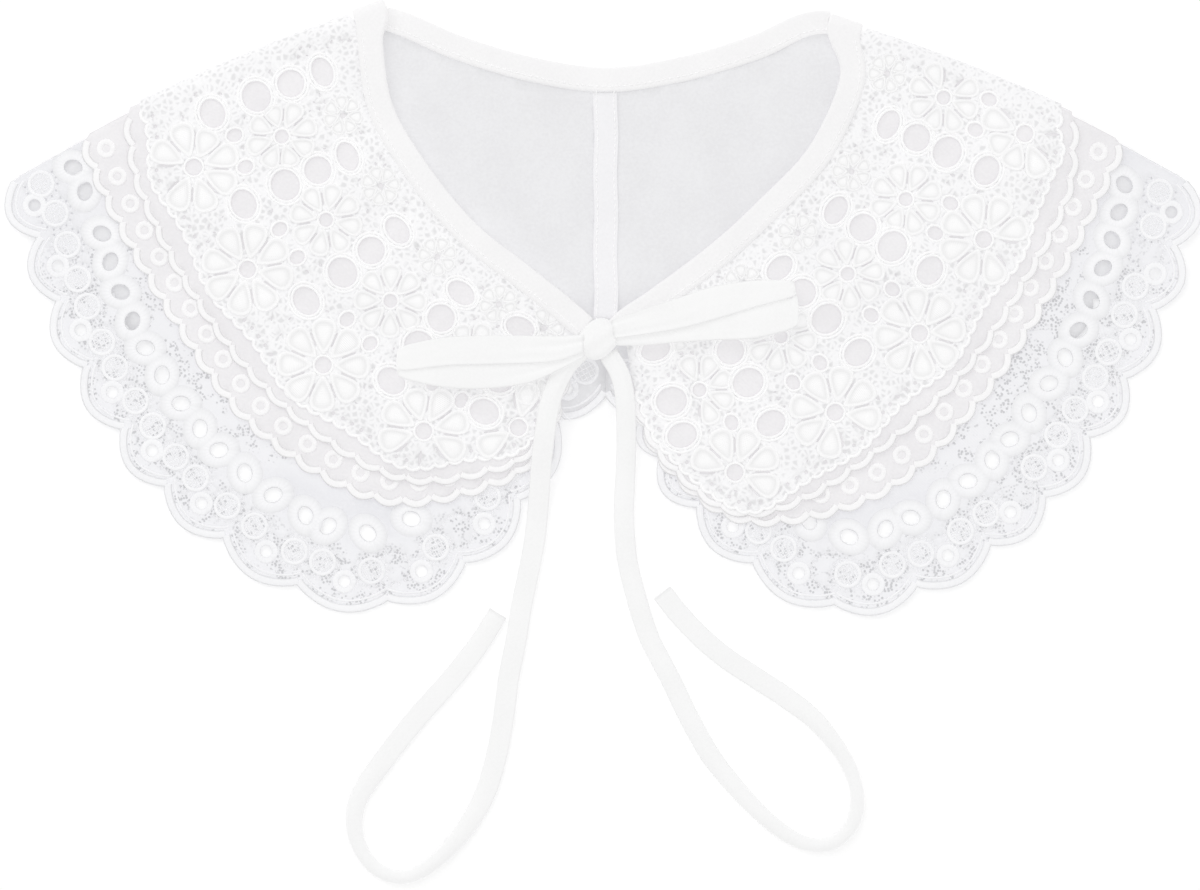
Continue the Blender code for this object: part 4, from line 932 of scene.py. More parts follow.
def makeBase(side):
    lay = layerOf(side, 0)
    edge, spans = scallops(hemNotches[side], baseLook["scallopDepth"], 16)
    outline, creases = tierOutline(side, "base", edge, foldReach(0, 0.0))
    plain = tierOutline(side, "base", edge, 0.0)[0]
    eyelets = hemEyelets(spans, plain)
    holes = [e[0] for e in eyelets]
    share, inward, radius = baseLook["scroll"]
    for middle, along, out, width, swell in spans:
        if width < 20:
            continue
        for way in (-1, 1):
            centre = middle + along * way * share * width - out * inward
            for k in range(15):
                a = 2 * math.pi * k / 15
                ring = oval(centre + (radius + 1.0) * np.array((math.cos(a), math.sin(a))), 1.2, 0.75, a, 5)
                if within(ring, plain).all() and not nearHoles(ring, holes, 0.25).any():
                    if offLine(ring, plain, True)[0].min() > 3.2:
                        holes.append(ring)
    front = makeShell("baseFront" + side, *cutCloth(outline, holes, loosePoints(plain, holes, 4.5), creases), lay,
                      baseLook["thickness"], materials["organza"])
    backWay = (0.0, 4.0) if side == "left" else (8.0, 4.0)
    hemLine = onGuide(backGuides, np.linspace(*backWay, 400), 1.0)
    hem, backSpans = scallops(evenly(hemLine, baseLook["backScallop"]), baseLook["scallopDepth"], 14)
    shares = np.linspace(0.0, 1.0, 34)
    shoulder = onGuide(frontGuides[side], 0.0, shares)
    seam = onGuide(backGuides, 4.0, np.linspace(1.0, 0.0, 24))
    seam[:, 0] -= 0.02 * outwardSign[side]
    hem[-1, 0] = seam[0, 0]
    neck = evenly(onGuide(backGuides, np.linspace(*backWay[::-1], 200), 0.0), 5.0)
    back = np.vstack((shoulder[:-1], hem[:-1], seam, neck[1:-1]))
    backEyelets = hemEyelets(backSpans[-2:], back)
    backHoles = [e[0] for e in backEyelets]
    rear = makeShell("baseBack" + side, *cutCloth(back, backHoles, loosePoints(back, backHoles, 6.0)), layBack,
                     baseLook["thickness"], materials["backOrganza"])
    area = (front["flatArea"] + rear["flatArea"]) * mm * mm
    joined = joinPieces("baseCloth_" + side, (front, rear))
    keep(joined, "organza", "base_" + side)
    spread = np.array([v.co[:2] for v in joined.data.vertices]) / mm
    fromEdge = np.minimum(offLine(spread, edge)[0], offLine(spread, hem)[0])
    worked = joined.data.attributes.new("worked", "FLOAT", "POINT")
    smoother = np.interp(offLine(spread, foldLines[side])[0], baseLook["smoothTo"], (0.8, 1.0))
    worked.data.foreach_set("value", smoother * np.interp(fromEdge, baseLook["workedTo"], (1.0, 0.0)))
    hemWork("_" + side, spans, eyelets, lay, slice(0, None))
    hemWork("Back_" + side, backSpans[-3:], backEyelets, layBack, slice(1, None))
    tip = foldLines[side][-1] - foldLines[side][0]
    away = np.array((tip[1], -tip[0])) / np.hypot(*tip)
    unfolded = back - 2 * np.outer((back - foldLines[side][0]) @ away, away)
    flatSizes[joined.name] = (np.ptp(np.vstack((outline, unfolded)), axis=0) * mm, area)
    print(side, "base", triangleCount(joined), "eyelets", len(holes), len(backHoles))


# One object out of several, their materials kept on their faces.
def joinPieces(name, parts):
    points, faces, paint, smooth, looks = [], [], [], [], []
    for part in parts:
        start = len(points)
        mesh = part.data
        points.extend(tuple(v.co) for v in mesh.vertices)
        first = len(looks)
        looks.extend(mesh.materials)
        for face in mesh.polygons:
            faces.append([start + i for i in face.vertices])
            paint.append(first + face.material_index)
            smooth.append(face.use_smooth)
    mesh = bpy.data.meshes.new(name)
    mesh.from_pydata(points, [], faces)
    for look in looks:
        mesh.materials.append(look)
    mesh.polygons.foreach_set("material_index", paint)
    mesh.polygons.foreach_set("use_smooth", smooth)
    mesh.update()
    for part in parts:
        bpy.data.objects.remove(part, do_unlink=True)
    item = bpy.data.objects.new(name, mesh)
    bpy.context.scene.collection.objects.link(item)
    return item


for sideName in sides:
    makeBase(sideName)

# The two sheer tiers, each with a stitched scalloped band, the wider one with a row of rings inside it.
tierLook = {"ring": {"order": 1, "scallop": 11.6, "depth": 2.6, "band": 2.9, "inset": 1.5, "ringInset": 7.2, "ringSize": 3.7},
            "narrow": {"order": 2, "scallop": 11.0, "depth": 2.0, "band": 2.6, "inset": 1.4}}


def makeTier(side, tier):
    look = tierLook[tier]
    lay = layerOf(side, look["order"])
    edge, spans = scallops(edgeLine(side, tier, look["scallop"]), look["depth"], 8)
    outline, creases = tierOutline(side, tier, edge, foldReach(look["order"], 3.0))
    plain = tierOutline(side, tier, edge, 0.0)[0]
    cut = cutCloth(outline, (), loosePoints(plain, (), 5.0), creases)
    cloth = makeShell(tier + "Tier_" + side, *cut, lay, 0.3, materials["tulle"])
    keep(cloth, "cotton_lace", tier + "_tier_" + side)
    flatSizes[cloth.name] = (np.ptp(outline, axis=0) * mm, cloth["flatArea"] * mm * mm)
    band = runCords(tier + "Band_" + side, insideScallops(spans, look["inset"], 12), look["band"], 0.7, 1.0,
                    materials["tierAlong"], lay, 0.2)
    keep(band, "cotton_lace")
    if "ringInset" in look:
        line = edgeLine(side, tier, look["scallop"], look["ringInset"])
        middles = (line[:-1] + line[1:]) / 2
        size = look["ringSize"]
        spots = [(*p, 0.0, size, size, 0.6) for p in middles]
        keep(sprinkle(tier + "Rings_" + side, motifs["smallRing"], spots, materials["tierAlong"], lay, 0.1), "cotton_lace")
    print(side, tier, triangleCount(cloth), triangleCount(band))


for sideName in sides:
    makeTier(sideName, "ring")
    makeTier(sideName, "narrow")

# The flower lace: daisies, corded ovals, rosettes near the neck and a ground of small holes.
laceLook = {"thickness": 0.4, "daisies": ((0.795, 18.2, 3.3), (0.395, 14.4, 2.7)), "petals": 8,
            "ovals": ((0.690, 11.5, 9.6), (0.485, 12.0, 11.0), (0.325, 10.6, 10.4), (0.178, 11.5, 8.0)),
            "smallHole": (0.585, 6.2, 5.2, 6.4), "rosette": (0.118, 7.7), "holeStep": 3.4, "holeSize": 1.15,
            "edgeHoles": (4.2, 4.0, 1.7), "share": 0.24, "edgeScallop": 5.6, "edgeDepth": 1.3, "seed": 7}


def makeLace(side):
    rows = frontGuides[side]
    lay = layerOf(side, 3)
    edge, edgeSpans = scallops(edgeLine(side, "lace", laceLook["edgeScallop"], 0.9), laceLook["edgeDepth"], 6)
    outline, creases = tierOutline(side, "lace", edge, foldReach(3, 3.0))
    plain = tierOutline(side, "lace", edge, 0.0)[0]
    holes, cordPaths, petals = [], [], []

    def free(hole, gap):
        ok = within(hole, plain).all() and offLine(hole, plain, True)[0].min() > gap
        return ok and not nearHoles(hole, holes, gap * 0.4).any()

    def downAt(s):
        row = rowAt(rows, s)
        return (row[2:4] - row[0:2]) / np.hypot(*(row[2:4] - row[0:2])), float(edgeShare(side, "lace", s))

    for s in laceLines[side]["ovals"]:
        down, share = downAt(s)
        angle = math.atan2(down[1], down[0]) + math.pi / 2
        for depth, length, width in laceLook["ovals"]:
            centre = onGuide(rows, s, share * depth)
            ring = oval(centre, length, width, angle, 20)
            if not free(ring, 1.0):
                continue
            holes.append(ring)
            cordPaths.append((oval(centre, length + 0.9, width + 0.9, angle, 28), True))
            cordPaths.append((oval(centre, length + 3.4, width + 3.4, angle, 30), True))
    openings = list(holes)

    def petalLength(base, a, length):
        for part in (1.0, 0.92, 0.84, 0.76, 0.68):
            reach = length * part
            tip = base + np.outer((1.0, 0.86, 0.86, 0.6, 0.6), (math.cos(a), math.sin(a))) * reach
            tip += np.outer((0.0, 0.36, -0.36, 0.32, -0.32), (-math.sin(a), math.cos(a))) * reach
            if not nearHoles(tip, openings, 0.3).any():
                return reach
        return 0.0

    for s in laceLines[side]["daisies"]:
        down, share = downAt(s)
        angle = math.atan2(down[1], down[0])
        for depth, radius, hole in laceLook["daisies"]:
            centre = onGuide(rows, s, share * depth)
            ring = oval(centre, 2 * hole, 2 * hole, angle, 12)
            if not free(ring, 1.0):
                continue
            holes.append(ring)
            cordPaths.append((oval(centre, 2 * hole + 0.8, 2 * hole + 0.8, 0.0, 22), True))
            for k in range(laceLook["petals"]):
                a = angle + 2 * math.pi * k / laceLook["petals"]
                out = np.array((math.cos(a), math.sin(a)))
                base = centre + out * (hole + 0.6)
                length = radius - hole - 0.6
                tip = centre + out * radius
                if within(tip[None] * 0.97 + centre * 0.03, plain)[0]:
                    length = petalLength(base, a, length)
                    petals.append((*base, a, length, (radius - hole) * 0.88, 0.72))
                a += math.pi / laceLook["petals"]
                out = np.array((math.cos(a), math.sin(a)))
                gap = oval(centre + out * radius * 0.58, radius * 0.34, 1.3, a, 10)
                if free(gap, 0.7):
                    holes.append(gap)
        side2 = np.array((-down[1], down[0]))
        depth, length, width, step = laceLook["smallHole"]
        for way in (-1, 1):
            centre = onGuide(rows, s, share * depth) + side2 * way * step
            ring = oval(centre, length, width, angle, 14)
            if free(ring, 1.0):
                holes.append(ring)
                cordPaths.append((oval(centre, length + 0.8, width + 0.8, angle, 24), True))
    depth, size = laceLook["rosette"]
    for s in laceLines[side]["daisies"]:
        down, share = downAt(s)
        centre = onGuide(rows, s, share * depth)
        angle = math.atan2(down[1], down[0])
        if not within(centre[None], plain)[0]:
            continue
        ring = oval(centre, 2.4, 2.4, 0.0, 8)
        if free(ring, 0.5):
            holes.append(ring)
        for k in range(7):
            a = angle + 2 * math.pi * k / 7
            start = centre + 1.5 * np.array((math.cos(a), math.sin(a)))
            petals.append((*start, a, petalLength(start, a, size - 1.5), (size - 1.5) * 1.15, 0.65))
    gap, inset, size = laceLook["edgeHoles"]
    for point in edgeLine(side, "lace", gap, inset)[1:-1]:
        ring = oval(point, size, size, 0.0, 6)
        if free(ring, 0.6):
            holes.append(ring)
    holes = scatterHoles(side, plain, holes, petals)
    cut = cutCloth(outline, holes, loosePoints(plain, [], 5.0), creases)
    ground = makeShell("flowerLace_" + side, *cut, lay, laceLook["thickness"], materials["laceThread"])
    keep(ground, "cotton_lace", "daisy_lace_" + side)
    flatSizes[ground.name] = (np.ptp(outline, axis=0) * mm, ground["flatArea"] * mm * mm)
    flowers = sprinkle("lacePetals_" + side, motifs["petal"], petals, materials["satinAlong"], lay, 0.15)
    keep(flowers, "cotton_lace")
    cords = runCords("laceCords_" + side, cordPaths, 0.95, 0.8, 0.9, materials["satinAlong"], lay, 0.3)
    keep(cords, "cotton_lace")
    rim = runCords("laceEdge_" + side, insideScallops(edgeSpans, 0.6, 8), 1.3, 0.7, 0.9, materials["satinAlong"],
                   lay, 0.15)
    keep(rim, "cotton_lace")
    print(side, "lace", triangleCount(ground), "holes", len(holes), "petals", len(petals), triangleCount(flowers))


# Small uneven holes of the ground, kept clear of the openings and from under the petals.
def scatterHoles(side, plain, holes, petals):
    draw = np.random.default_rng(laceLook["seed"] + (side == "right"))
    step = laceLook["holeStep"]
    spots = loosePoints(plain, [], step)
    spots = spots + draw.uniform(-0.5, 0.5, spots.shape)
    spots = spots[offLine(spots, plain, True)[0] > 2.0]
    spots = spots[~nearHoles(spots, holes, 2.0)]
    centres = np.array([(p[0] + math.cos(p[2]) * p[3] * 0.58, p[1] + math.sin(p[2]) * p[3] * 0.58) for p in petals])
    reach = np.array([p[3] * 0.47 for p in petals])
    apart = np.hypot(spots[:, None, 0] - centres[None, :, 0], spots[:, None, 1] - centres[None, :, 1])
    spots = spots[(apart > reach[None]).all(1)]
    spots = spots[draw.random(len(spots)) < laceLook["share"]]
    sizes = laceLook["holeSize"] * draw.uniform(0.7, 1.3, len(spots))
    return holes + [oval(p, size * 1.5, size * 0.75, draw.uniform(0, 3), 6) for p, size in zip(spots, sizes)]


for sideName in sides:
    makeLace(sideName)

# Bands with a rounded section, swept along rows of centre, side and up.
def sweptBand(name, centres, across, ups, profile, finish):
    points, faces = [], []
    count = len(profile)
    for centre, side, up in zip(centres, across, ups):
        for x, z in profile:
            points.append(centre + side * x + up * z)
    for m in range(len(centres) - 1):
        for k in range(count):
            j = (k + 1) % count
            faces.append((m * count + k, m * count + j, (m + 1) * count + j, (m + 1) * count + k))
    faces.append(tuple(range(count))[::-1])
    faces.append(tuple(range((len(centres) - 1) * count, len(centres) * count)))
    item = newObject(name, toMetres(points), faces, finish)
    turnOutward(item)
    travel = np.concatenate(([0.0], np.cumsum(np.linalg.norm(np.diff(centres, axis=0), axis=1))))
    along = item.data.attributes.new("along", "FLOAT", "POINT")
    along.data.foreach_set("value", np.repeat(travel, count))
    return item


# Flips a closed mesh whose volume comes out negative.
def turnOutward(item):
    volume = 0.0
    for face in item.data.polygons:
        corners = [item.data.vertices[i].co for i in face.vertices]
        for k in range(1, len(corners) - 1):
            volume += corners[0].dot(corners[k].cross(corners[k + 1]))
    if volume < 0:
        item.data.flip_normals()


def roundedProfile(width, low, high, soft, count=6):
    half = width / 2 - soft
    profile = []
    for cx, cz, start in ((half, high - soft, 0.0), (-half, high - soft, 90.0), (-half, low + soft, 180.0),
                          (half, low + soft, 270.0)):
        for k in range(count):
            a = math.radians(start + 90.0 * k / (count - 1))
            profile.append((cx + soft * math.cos(a), cz + soft * math.sin(a)))
    return profile


bindingLook = {"width": 8.9, "seam": -0.7, "toKnot": 1.1, "frontLow": 5.5, "frontHigh": 10.9, "stitchInset": 1.5,
               "flare": (0.38, 9.5)}


def shoulderDirection(side):
    way = onGuide(frontGuides[side], 0.0, 0.0) - onGuide(frontGuides[side], 0.0, 0.05)
    return way / np.hypot(*way)


def neckRibs(rows, sFrom, sTo, count, folds, turnIn):
    s = np.linspace(sFrom, sTo, count)
    here = onGuide(rows, s, 0.0)
    last = len(rows) - 1.0
    ahead = onGuide(rows, np.minimum(s + 0.02, last), 0.0) - onGuide(rows, np.maximum(s - 0.02, 0.0), 0.0)
    normal = np.column_stack((ahead[:, 1], -ahead[:, 0]))
    normal /= np.hypot(normal[:, 0], normal[:, 1])[:, None]
    hem = rowAt(rows, s)[:, 2:4]
    normal *= np.where((normal * (hem - here)).sum(1) > 0, -1.0, 1.0)[:, None]
    for place, direction in folds.items():
        near = np.maximum(0.0, 1.0 - np.abs(s - place) / turnIn)[:, None]
        normal = normal * (1 - near) + direction * near
        normal /= np.hypot(normal[:, 0], normal[:, 1])[:, None]
    return here, normal


# A binding's mesh: rounded sections between its outer and inner edge, and a quarter turn over each shoulder.
def makeBinding(name, node, here, normal, lows, highs, ends):
    width, seam = bindingLook["width"], bindingLook["seam"]
    span = np.full(len(here), width - seam)
    travel = lengthsAlong(here)
    for start, side in ends:                        # it flares where it turns over a shoulder
        near = np.clip(1.0 - (travel if start else travel[-1] - travel) / bindingLook["flare"][1], 0, 1)
        span *= 1.0 + bindingLook["flare"][0] * near * near * (3 - 2 * near)
    middle = here + normal * (seam + span / 2)[:, None]
    rows = [(np.array((*m, 0.0)), np.array((*n, 0.0)), low, high) for m, n, low, high in zip(middle, normal, lows, highs)]
    points, faces = [], []
    count = None
    sections = []
    for (centre, side, low, high), wide in zip(rows, span):
        profile = roundedProfile(wide, low, high, min(1.3, (high - low) / 2.2))
        sections.append([centre + side * x + np.array((0, 0, z)) for x, z in profile])
    for start, side in ends:
        centre, across, low, high = rows[0] if start else rows[-1]
        out = foldNormalAt(side, np.array([0.02]))[0]
        pivot = 5.35
        for degrees in (15.0, 30.0, 45.0, 60.0, 75.0, 90.0, 105.0):
            angle = math.radians(degrees)
            sections_points = []
            for x, z in roundedProfile(span[0 if start else -1], low, high, min(1.3, (high - low) / 2.2)):
                r = z - pivot
                flat = centre + across * x
                tilt = np.array((*(out * abs(r) * math.sin(angle)), pivot + r * math.cos(angle)))
                sections_points.append(np.array((flat[0] + tilt[0], flat[1] + tilt[1], tilt[2])))
            if start:
                sections.insert(0, sections_points)
            else:
                sections.append(sections_points)
    count = len(sections[0])
    points = np.vstack(sections)
    for m in range(len(sections) - 1):
        for k in range(count):
            j = (k + 1) % count
            faces.append((m * count + k, m * count + j, (m + 1) * count + j, (m + 1) * count + k))
    faces.append(tuple(range(count))[::-1])
    faces.append(tuple(range((len(sections) - 1) * count, len(sections) * count)))
    item = newObject(name, toMetres(points), faces, materials["bindingTape"])
    turnOutward(item)
    keep(item, "cotton_lace", node)
    length = lengthsAlong(middle)[-1]
    flatSizes[name] = (np.array((width + 0.5 * (highs.mean() - lows.mean()) * 2, length)) * mm, None)
    return middle, normal


stitchMotif = sweptBand("stitchMotif", np.array([(-0.9, 0, 0), (-0.5, 0, 0.22), (0.5, 0, 0.22), (0.9, 0, 0)]) * 1.0,
                        np.tile((0, 1.0, 0), (4, 1)), np.tile((0, 0, 1.0), (4, 1)),
                        [(0.2, 0.0), (0.14, 0.16), (-0.14, 0.16), (-0.2, 0.0)], materials["satinThread"])
for vertex in stitchMotif.data.vertices:        # back from metres: a motif is in plan millimetres
    vertex.co = vertex.co / mm - Vector((centreShift[0], centreShift[1], 0.0))
stitchMotif.hide_render = True


def stitchLine(name, line, heights, spacing=2.6):
    places = evenly(np.column_stack((line, heights)), spacing)
    turns = np.arctan2(np.gradient(places[:, 1]), np.gradient(places[:, 0]))
    spots = [(x, y, a, 1.0, 1.0, 1.0) for (x, y, z), a in zip(places, turns)]
    total = lengthsAlong(places)

    def lay(flat, height):
        apart = np.abs(flat[:, None, :] - places[None, :, :2]).sum(2)
        near = apart.argmin(1)
        return np.column_stack((flat, places[near, 2] + height))

    keep(sprinkle(name, stitchMotif, spots, materials["satinThread"], lay, 0.0), "cotton_lace")
    return total[-1]


for sideName in sides:
    rows = frontGuides[sideName]
    here, normal = neckRibs(rows, lastRow, 0.0, 90, {0.0: shoulderDirection(sideName)}, 0.6)
    ahead = (here[0] - here[1]) / np.hypot(*(here[0] - here[1]))
    here = np.vstack((here[0] + ahead * bindingLook["toKnot"], here))
    normal = np.vstack((normal[0], normal))
    low = np.full(len(here), bindingLook["frontLow"])
    high = np.full(len(here), bindingLook["frontHigh"])
    makeBinding("neckBinding_" + sideName, "neck_binding_" + sideName, here, normal, low, high, ((False, sideName),))
    inset = bindingLook["stitchInset"]
    stitchLine("bindingStitches_" + sideName, (here + normal * inset)[2:-2], high[2:-2] - 0.02)

backFolds = {0.0: shoulderDirection("left"), 8.0: shoulderDirection("right")}
here, normal = neckRibs(backGuides, 0.0, 8.0, 120, backFolds, 0.7)
clear = np.clip(np.minimum(np.arange(120), np.arange(120)[::-1]) / 24.0 - 0.5, 0, 0.5) * 2
makeBinding("neckBinding_back", "neck_binding_back", here, normal, np.zeros(120) + 0.05, 5.2 + 0.6 * clear,
            ((True, "left"), (False, "right")))
stitchLine("bindingStitches_back", (here + normal * 1.5)[6:-6], (5.2 + 0.6 * clear)[6:-6] - 0.02)

# The felled seam down the centre back, with two rows of stitches.
seamLook = {"x": 2.0, "width": 9.2, "top": 84.0, "end": -3.5, "low": 5.0, "high": 6.1}
ys = np.linspace(seamLook["top"], seamLook["end"], 40)
wander = 0.25 * np.sin(ys * 0.21)
seamDrop = -0.55 * np.clip((8.0 - ys) / 8.0, 0, 1)
seamCentres = np.column_stack((seamLook["x"] + wander, ys, seamDrop))
seamStrip = sweptBand("backSeamStrip", seamCentres, np.tile((1.0, 0, 0), (40, 1)), np.tile((0, 0, 1.0), (40, 1)),
                      roundedProfile(seamLook["width"], seamLook["low"], seamLook["high"], 0.3), materials["seamCloth"])
keep(seamStrip, "organza", "back_seam")
flatSizes["backSeamStrip"] = (np.array((seamLook["width"] + 1.0, seamLook["top"] - seamLook["end"])) * mm, None)
for name, offset in (("A", 3.4), ("B", -3.4)):
    line = np.column_stack((seamLook["x"] + wander + offset, ys))
    stitchLine("seamStitches" + name, line, seamDrop + seamLook["high"] - 0.02)

# The hidden tiers of the back keep the CAD solid and take cloth's finish.
hiddenNode = bpy.data.objects["back_layers"]
for slot in hiddenNode.material_slots:
    slot.material = materials["tulle"]

# The ribbon: knot, two loops and two tails.
ribbonLook = {"width": 8.0, "thickness": 0.45}
strands = {
    "left": (((-6.4, -12.6, 14.0, 3.2), (-17.0, -14.6, 13.5, 4.8), (-30.0, -15.0, 12.5, 5.4),
              (-45.0, -15.2, 11.9, 5.6), (-60.0, -15.8, 11.7, 5.5), (-77.5, -18.6, 11.5, 4.9)),
             ((-77.5, -21.0, 10.5, 4.9), (-60.0, -24.2, 10.7, 5.3), (-44.0, -24.6, 10.9, 5.4),
              (-28.0, -22.8, 11.3, 5.0), (-16.0, -19.0, 12.0, 3.8), (-6.0, -14.8, 12.5, 2.6))),
    "right": (((4.6, -7.4, 14.5, 3.4), (17.0, -4.4, 14.2, 4.8), (30.0, -1.2, 13.8, 5.8),
               (44.0, 3.0, 13.6, 6.2), (58.0, 6.2, 13.8, 5.2), (74.5, 8.6, 14.2, 3.2)),
              ((74.5, -0.6, 13.2, 6.3), (58.0, -4.0, 12.8, 6.8), (42.0, -5.6, 12.5, 6.0),
               (28.0, -7.6, 12.5, 4.8), (17.0, -9.4, 12.6, 4.0), (5.6, -10.8, 12.8, 2.8))),
}


# Across a ribbon: thin, with soft folds lengthwise that grow towards the knot.
def ribbonProfile(half, gathered, phase):
    top, low = [], []
    for k in range(15):
        x = -1.0 + 2.0 * k / 14
        fold = gathered * (0.55 * math.sin(5.5 * x + phase) + 0.35 * math.sin(9.0 * x - phase))
        edge = 1.0 - max(0.0, abs(x) - 0.93) / 0.07 * 0.6
        t = ribbonLook["thickness"] / 2 * edge
        top.append((x * half, fold + t))
        low.append((x * half, fold - t))
    return top + low[::-1]


def makeLoop(side):
    upper, lower = (np.array(s) for s in strands[side])
    there, back = rowAt(upper, np.linspace(0, 5, 40)), rowAt(lower, np.linspace(0, 5, 40))
    end, start = there[-1], back[0]
    radius = (end[2] - start[2]) / 2
    outward = 1.0 if end[0] > 0 else -1.0
    turn = []
    for k in range(1, 10):
        share = k / 10
        middle = end + (start - end) * share
        turn.append((middle[0] + outward * radius * math.sin(math.pi * share), middle[1],
                     (end[2] + start[2]) / 2 + radius * math.cos(math.pi * share), middle[3]))
    rows = np.vstack((there, turn, back))
    centres = rows[:, :3]
    ahead = np.gradient(centres, axis=0)
    tilt = np.array((0.0, 1.0, 0.0)) if side == "left" else np.array((-0.2, 0.98, 0.0))
    points, faces = [], []
    for k, (centre, way) in enumerate(zip(centres, ahead)):
        up = np.cross((way[0], 0.0, way[2]), (0.0, 1.0, 0.0))
        up /= np.linalg.norm(up)
        nearKnot = max(0.0, 1.0 - abs(centre[0] - centres[0][0]) / 40.0)
        gathered = 0.06 + 0.40 * nearKnot ** 1.5
        fromEnd = max(0.0, 1.0 - abs(centre[0] - end[0]) / 5.0)
        for x, z in ribbonProfile(rows[k, 3] * (1 - 0.16 * fromEnd ** 2), gathered, 1.0 + 0.05 * centre[0]):
            points.append(centre + tilt * x + up * z)
    count = 30
    for m in range(len(centres) - 1):
        for k in range(count):
            j = (k + 1) % count
            faces.append((m * count + k, m * count + j, (m + 1) * count + j, (m + 1) * count + k))
    faces.append(tuple(range(count))[::-1])
    faces.append(tuple(range((len(centres) - 1) * count, len(centres) * count)))
    item = newObject("bowLoop_" + side, toMetres(points), faces, materials["ribbon"])
    turnOutward(item)
    return keep(item, "ribbon", "bow_loop_" + side)


loops = [makeLoop(sideName) for sideName in sides]

# The knot: the ribbon wrapped once round, its folds fanning from the lower left to the upper right.
knotLook = {"centre": (-0.9, -10.9), "radii": (8.3, 6.9), "turn": 46.0, "low": 5.8, "high": 15.2, "folds": 0.30}


def makeKnot():
    around, rings = 56, 20
    points, faces = [], []
    low, high = knotLook["low"], knotLook["high"]
    turn = math.radians(knotLook["turn"])
    for j in range(rings + 1):
        v = j / rings
        rise = -math.cos(math.pi * v)
        size = max(0.02, math.sqrt(max(0.0, 1 - abs(rise) ** 2.6)))
        z = (low + high) / 2 + rise * (high - low) / 2
        for k in range(around):
            a = 2 * math.pi * k / around
            x, y = math.cos(a), math.sin(a)
            square = (abs(x) ** 2.4 + abs(y) ** 2.4) ** (-1 / 2.4)
            crease = knotLook["folds"] * math.sin(7.0 * (y + 0.25 * x) * size + 1.2) * (0.3 + 0.7 * v)
            long, wide = knotLook["radii"][0] * size * x * square, knotLook["radii"][1] * size * y * square
            points.append((knotLook["centre"][0] + long * math.cos(turn) - wide * math.sin(turn),
                           knotLook["centre"][1] + long * math.sin(turn) + wide * math.cos(turn),
                           z + crease * min(1.0, 4 * v) * (0.2 if j == rings else 1.0) - knotLook["folds"] * v))
    for j in range(rings):
        for k in range(around):
            m = (k + 1) % around
            faces.append((j * around + k, j * around + m, (j + 1) * around + m, (j + 1) * around + k))
    faces.append(tuple(range(around))[::-1])
    faces.append(tuple(range(rings * around, (rings + 1) * around)))
    item = newObject("bowKnot", toMetres(points), faces, materials["ribbon"])
    turnOutward(item)
    return keep(item, "ribbon", "bow_knot")


knot = makeKnot()

tailRoutes = {
    "left": ((-6.35, -14.3, 8.8), (-13.5, -22.0, 8.4), (-19.0, -34.0, 7.6), (-21.5, -48.0, 7.2), (-23.0, -61.0, 3.8),
             (-24.0, -75.0, 0.9), (-25.5, -89.0, 0.2), (-28.0, -102.0, 0.2), (-30.5, -114.0, 0.2), (-32.5, -126.5, 0.2),
             (-35.5, -142.0, 0.2), (-37.5, -157.5, 0.2), (-40.5, -173.0, 0.2), (-45.5, -188.5, 0.2),
             (-55.0, -203.5, 0.2), (-66.5, -214.5, 0.2), (-77.0, -218.5, 0.2), (-87.5, -214.5, 0.2),
             (-94.0, -204.5, 0.2), (-95.0, -194.0, 0.2), (-91.5, -184.5, 0.2), (-82.0, -171.0, 0.2),
             (-70.5, -156.5, 0.2), (-57.5, -142.0, 0.2), (-47.0, -128.5, 0.2), (-39.5, -116.5, 0.2)),
    "right": ((2.95, -16.5, 8.8), (7.5, -24.5, 8.2), (9.5, -34.5, 7.4), (10.0, -49.5, 3.6), (9.5, -65.0, 1.0),
              (9.0, -77.0, 0.2), (9.5, -88.0, 0.2), (10.5, -97.0, 0.2), (13.0, -107.5, 0.2), (16.0, -118.0, 0.2),
              (19.5, -127.5, 0.2), (27.0, -142.0, 0.2), (34.5, -157.5, 0.2), (43.5, -173.0, 0.2), (56.5, -188.5, 0.2),
              (69.0, -200.0, 0.2), (79.5, -205.5, 0.2), (89.0, -205.5, 0.2), (96.0, -200.0, 0.2), (99.0, -192.0, 0.2),
              (98.5, -183.0, 0.2), (94.0, -172.0, 0.2), (83.5, -158.5, 0.2), (71.5, -149.0, 0.2), (60.0, -141.5, 0.2),
              (48.0, -133.5, 0.2), (38.0, -125.0, 0.2), (29.8, -116.2, 0.2), (23.8, -108.6, 0.2)),
}


# How far each tail curls over its length, from its start at 0 to its end at 1: it turns the bottom bend curled.
tailCurls = {
    "left": ((0.0, 0.45), (0.1, 0.2), (0.45, 0.0), (0.52, 0.4), (0.60, 0.95), (0.66, 1.0), (0.71, 0.8),
             (0.77, 0.45), (0.82, 0.0), (0.92, 0.0), (1.0, 0.5)),
    "right": ((0.0, 0.45), (0.2, 0.35), (0.45, 0.4), (0.54, 0.75), (0.62, 1.0), (0.70, 1.0), (0.76, 0.75),
              (0.82, 0.2), (0.88, 0.0), (1.0, 0.0)),
}
curlAngle = 1.68                        # half the arc of a fully curled ribbon


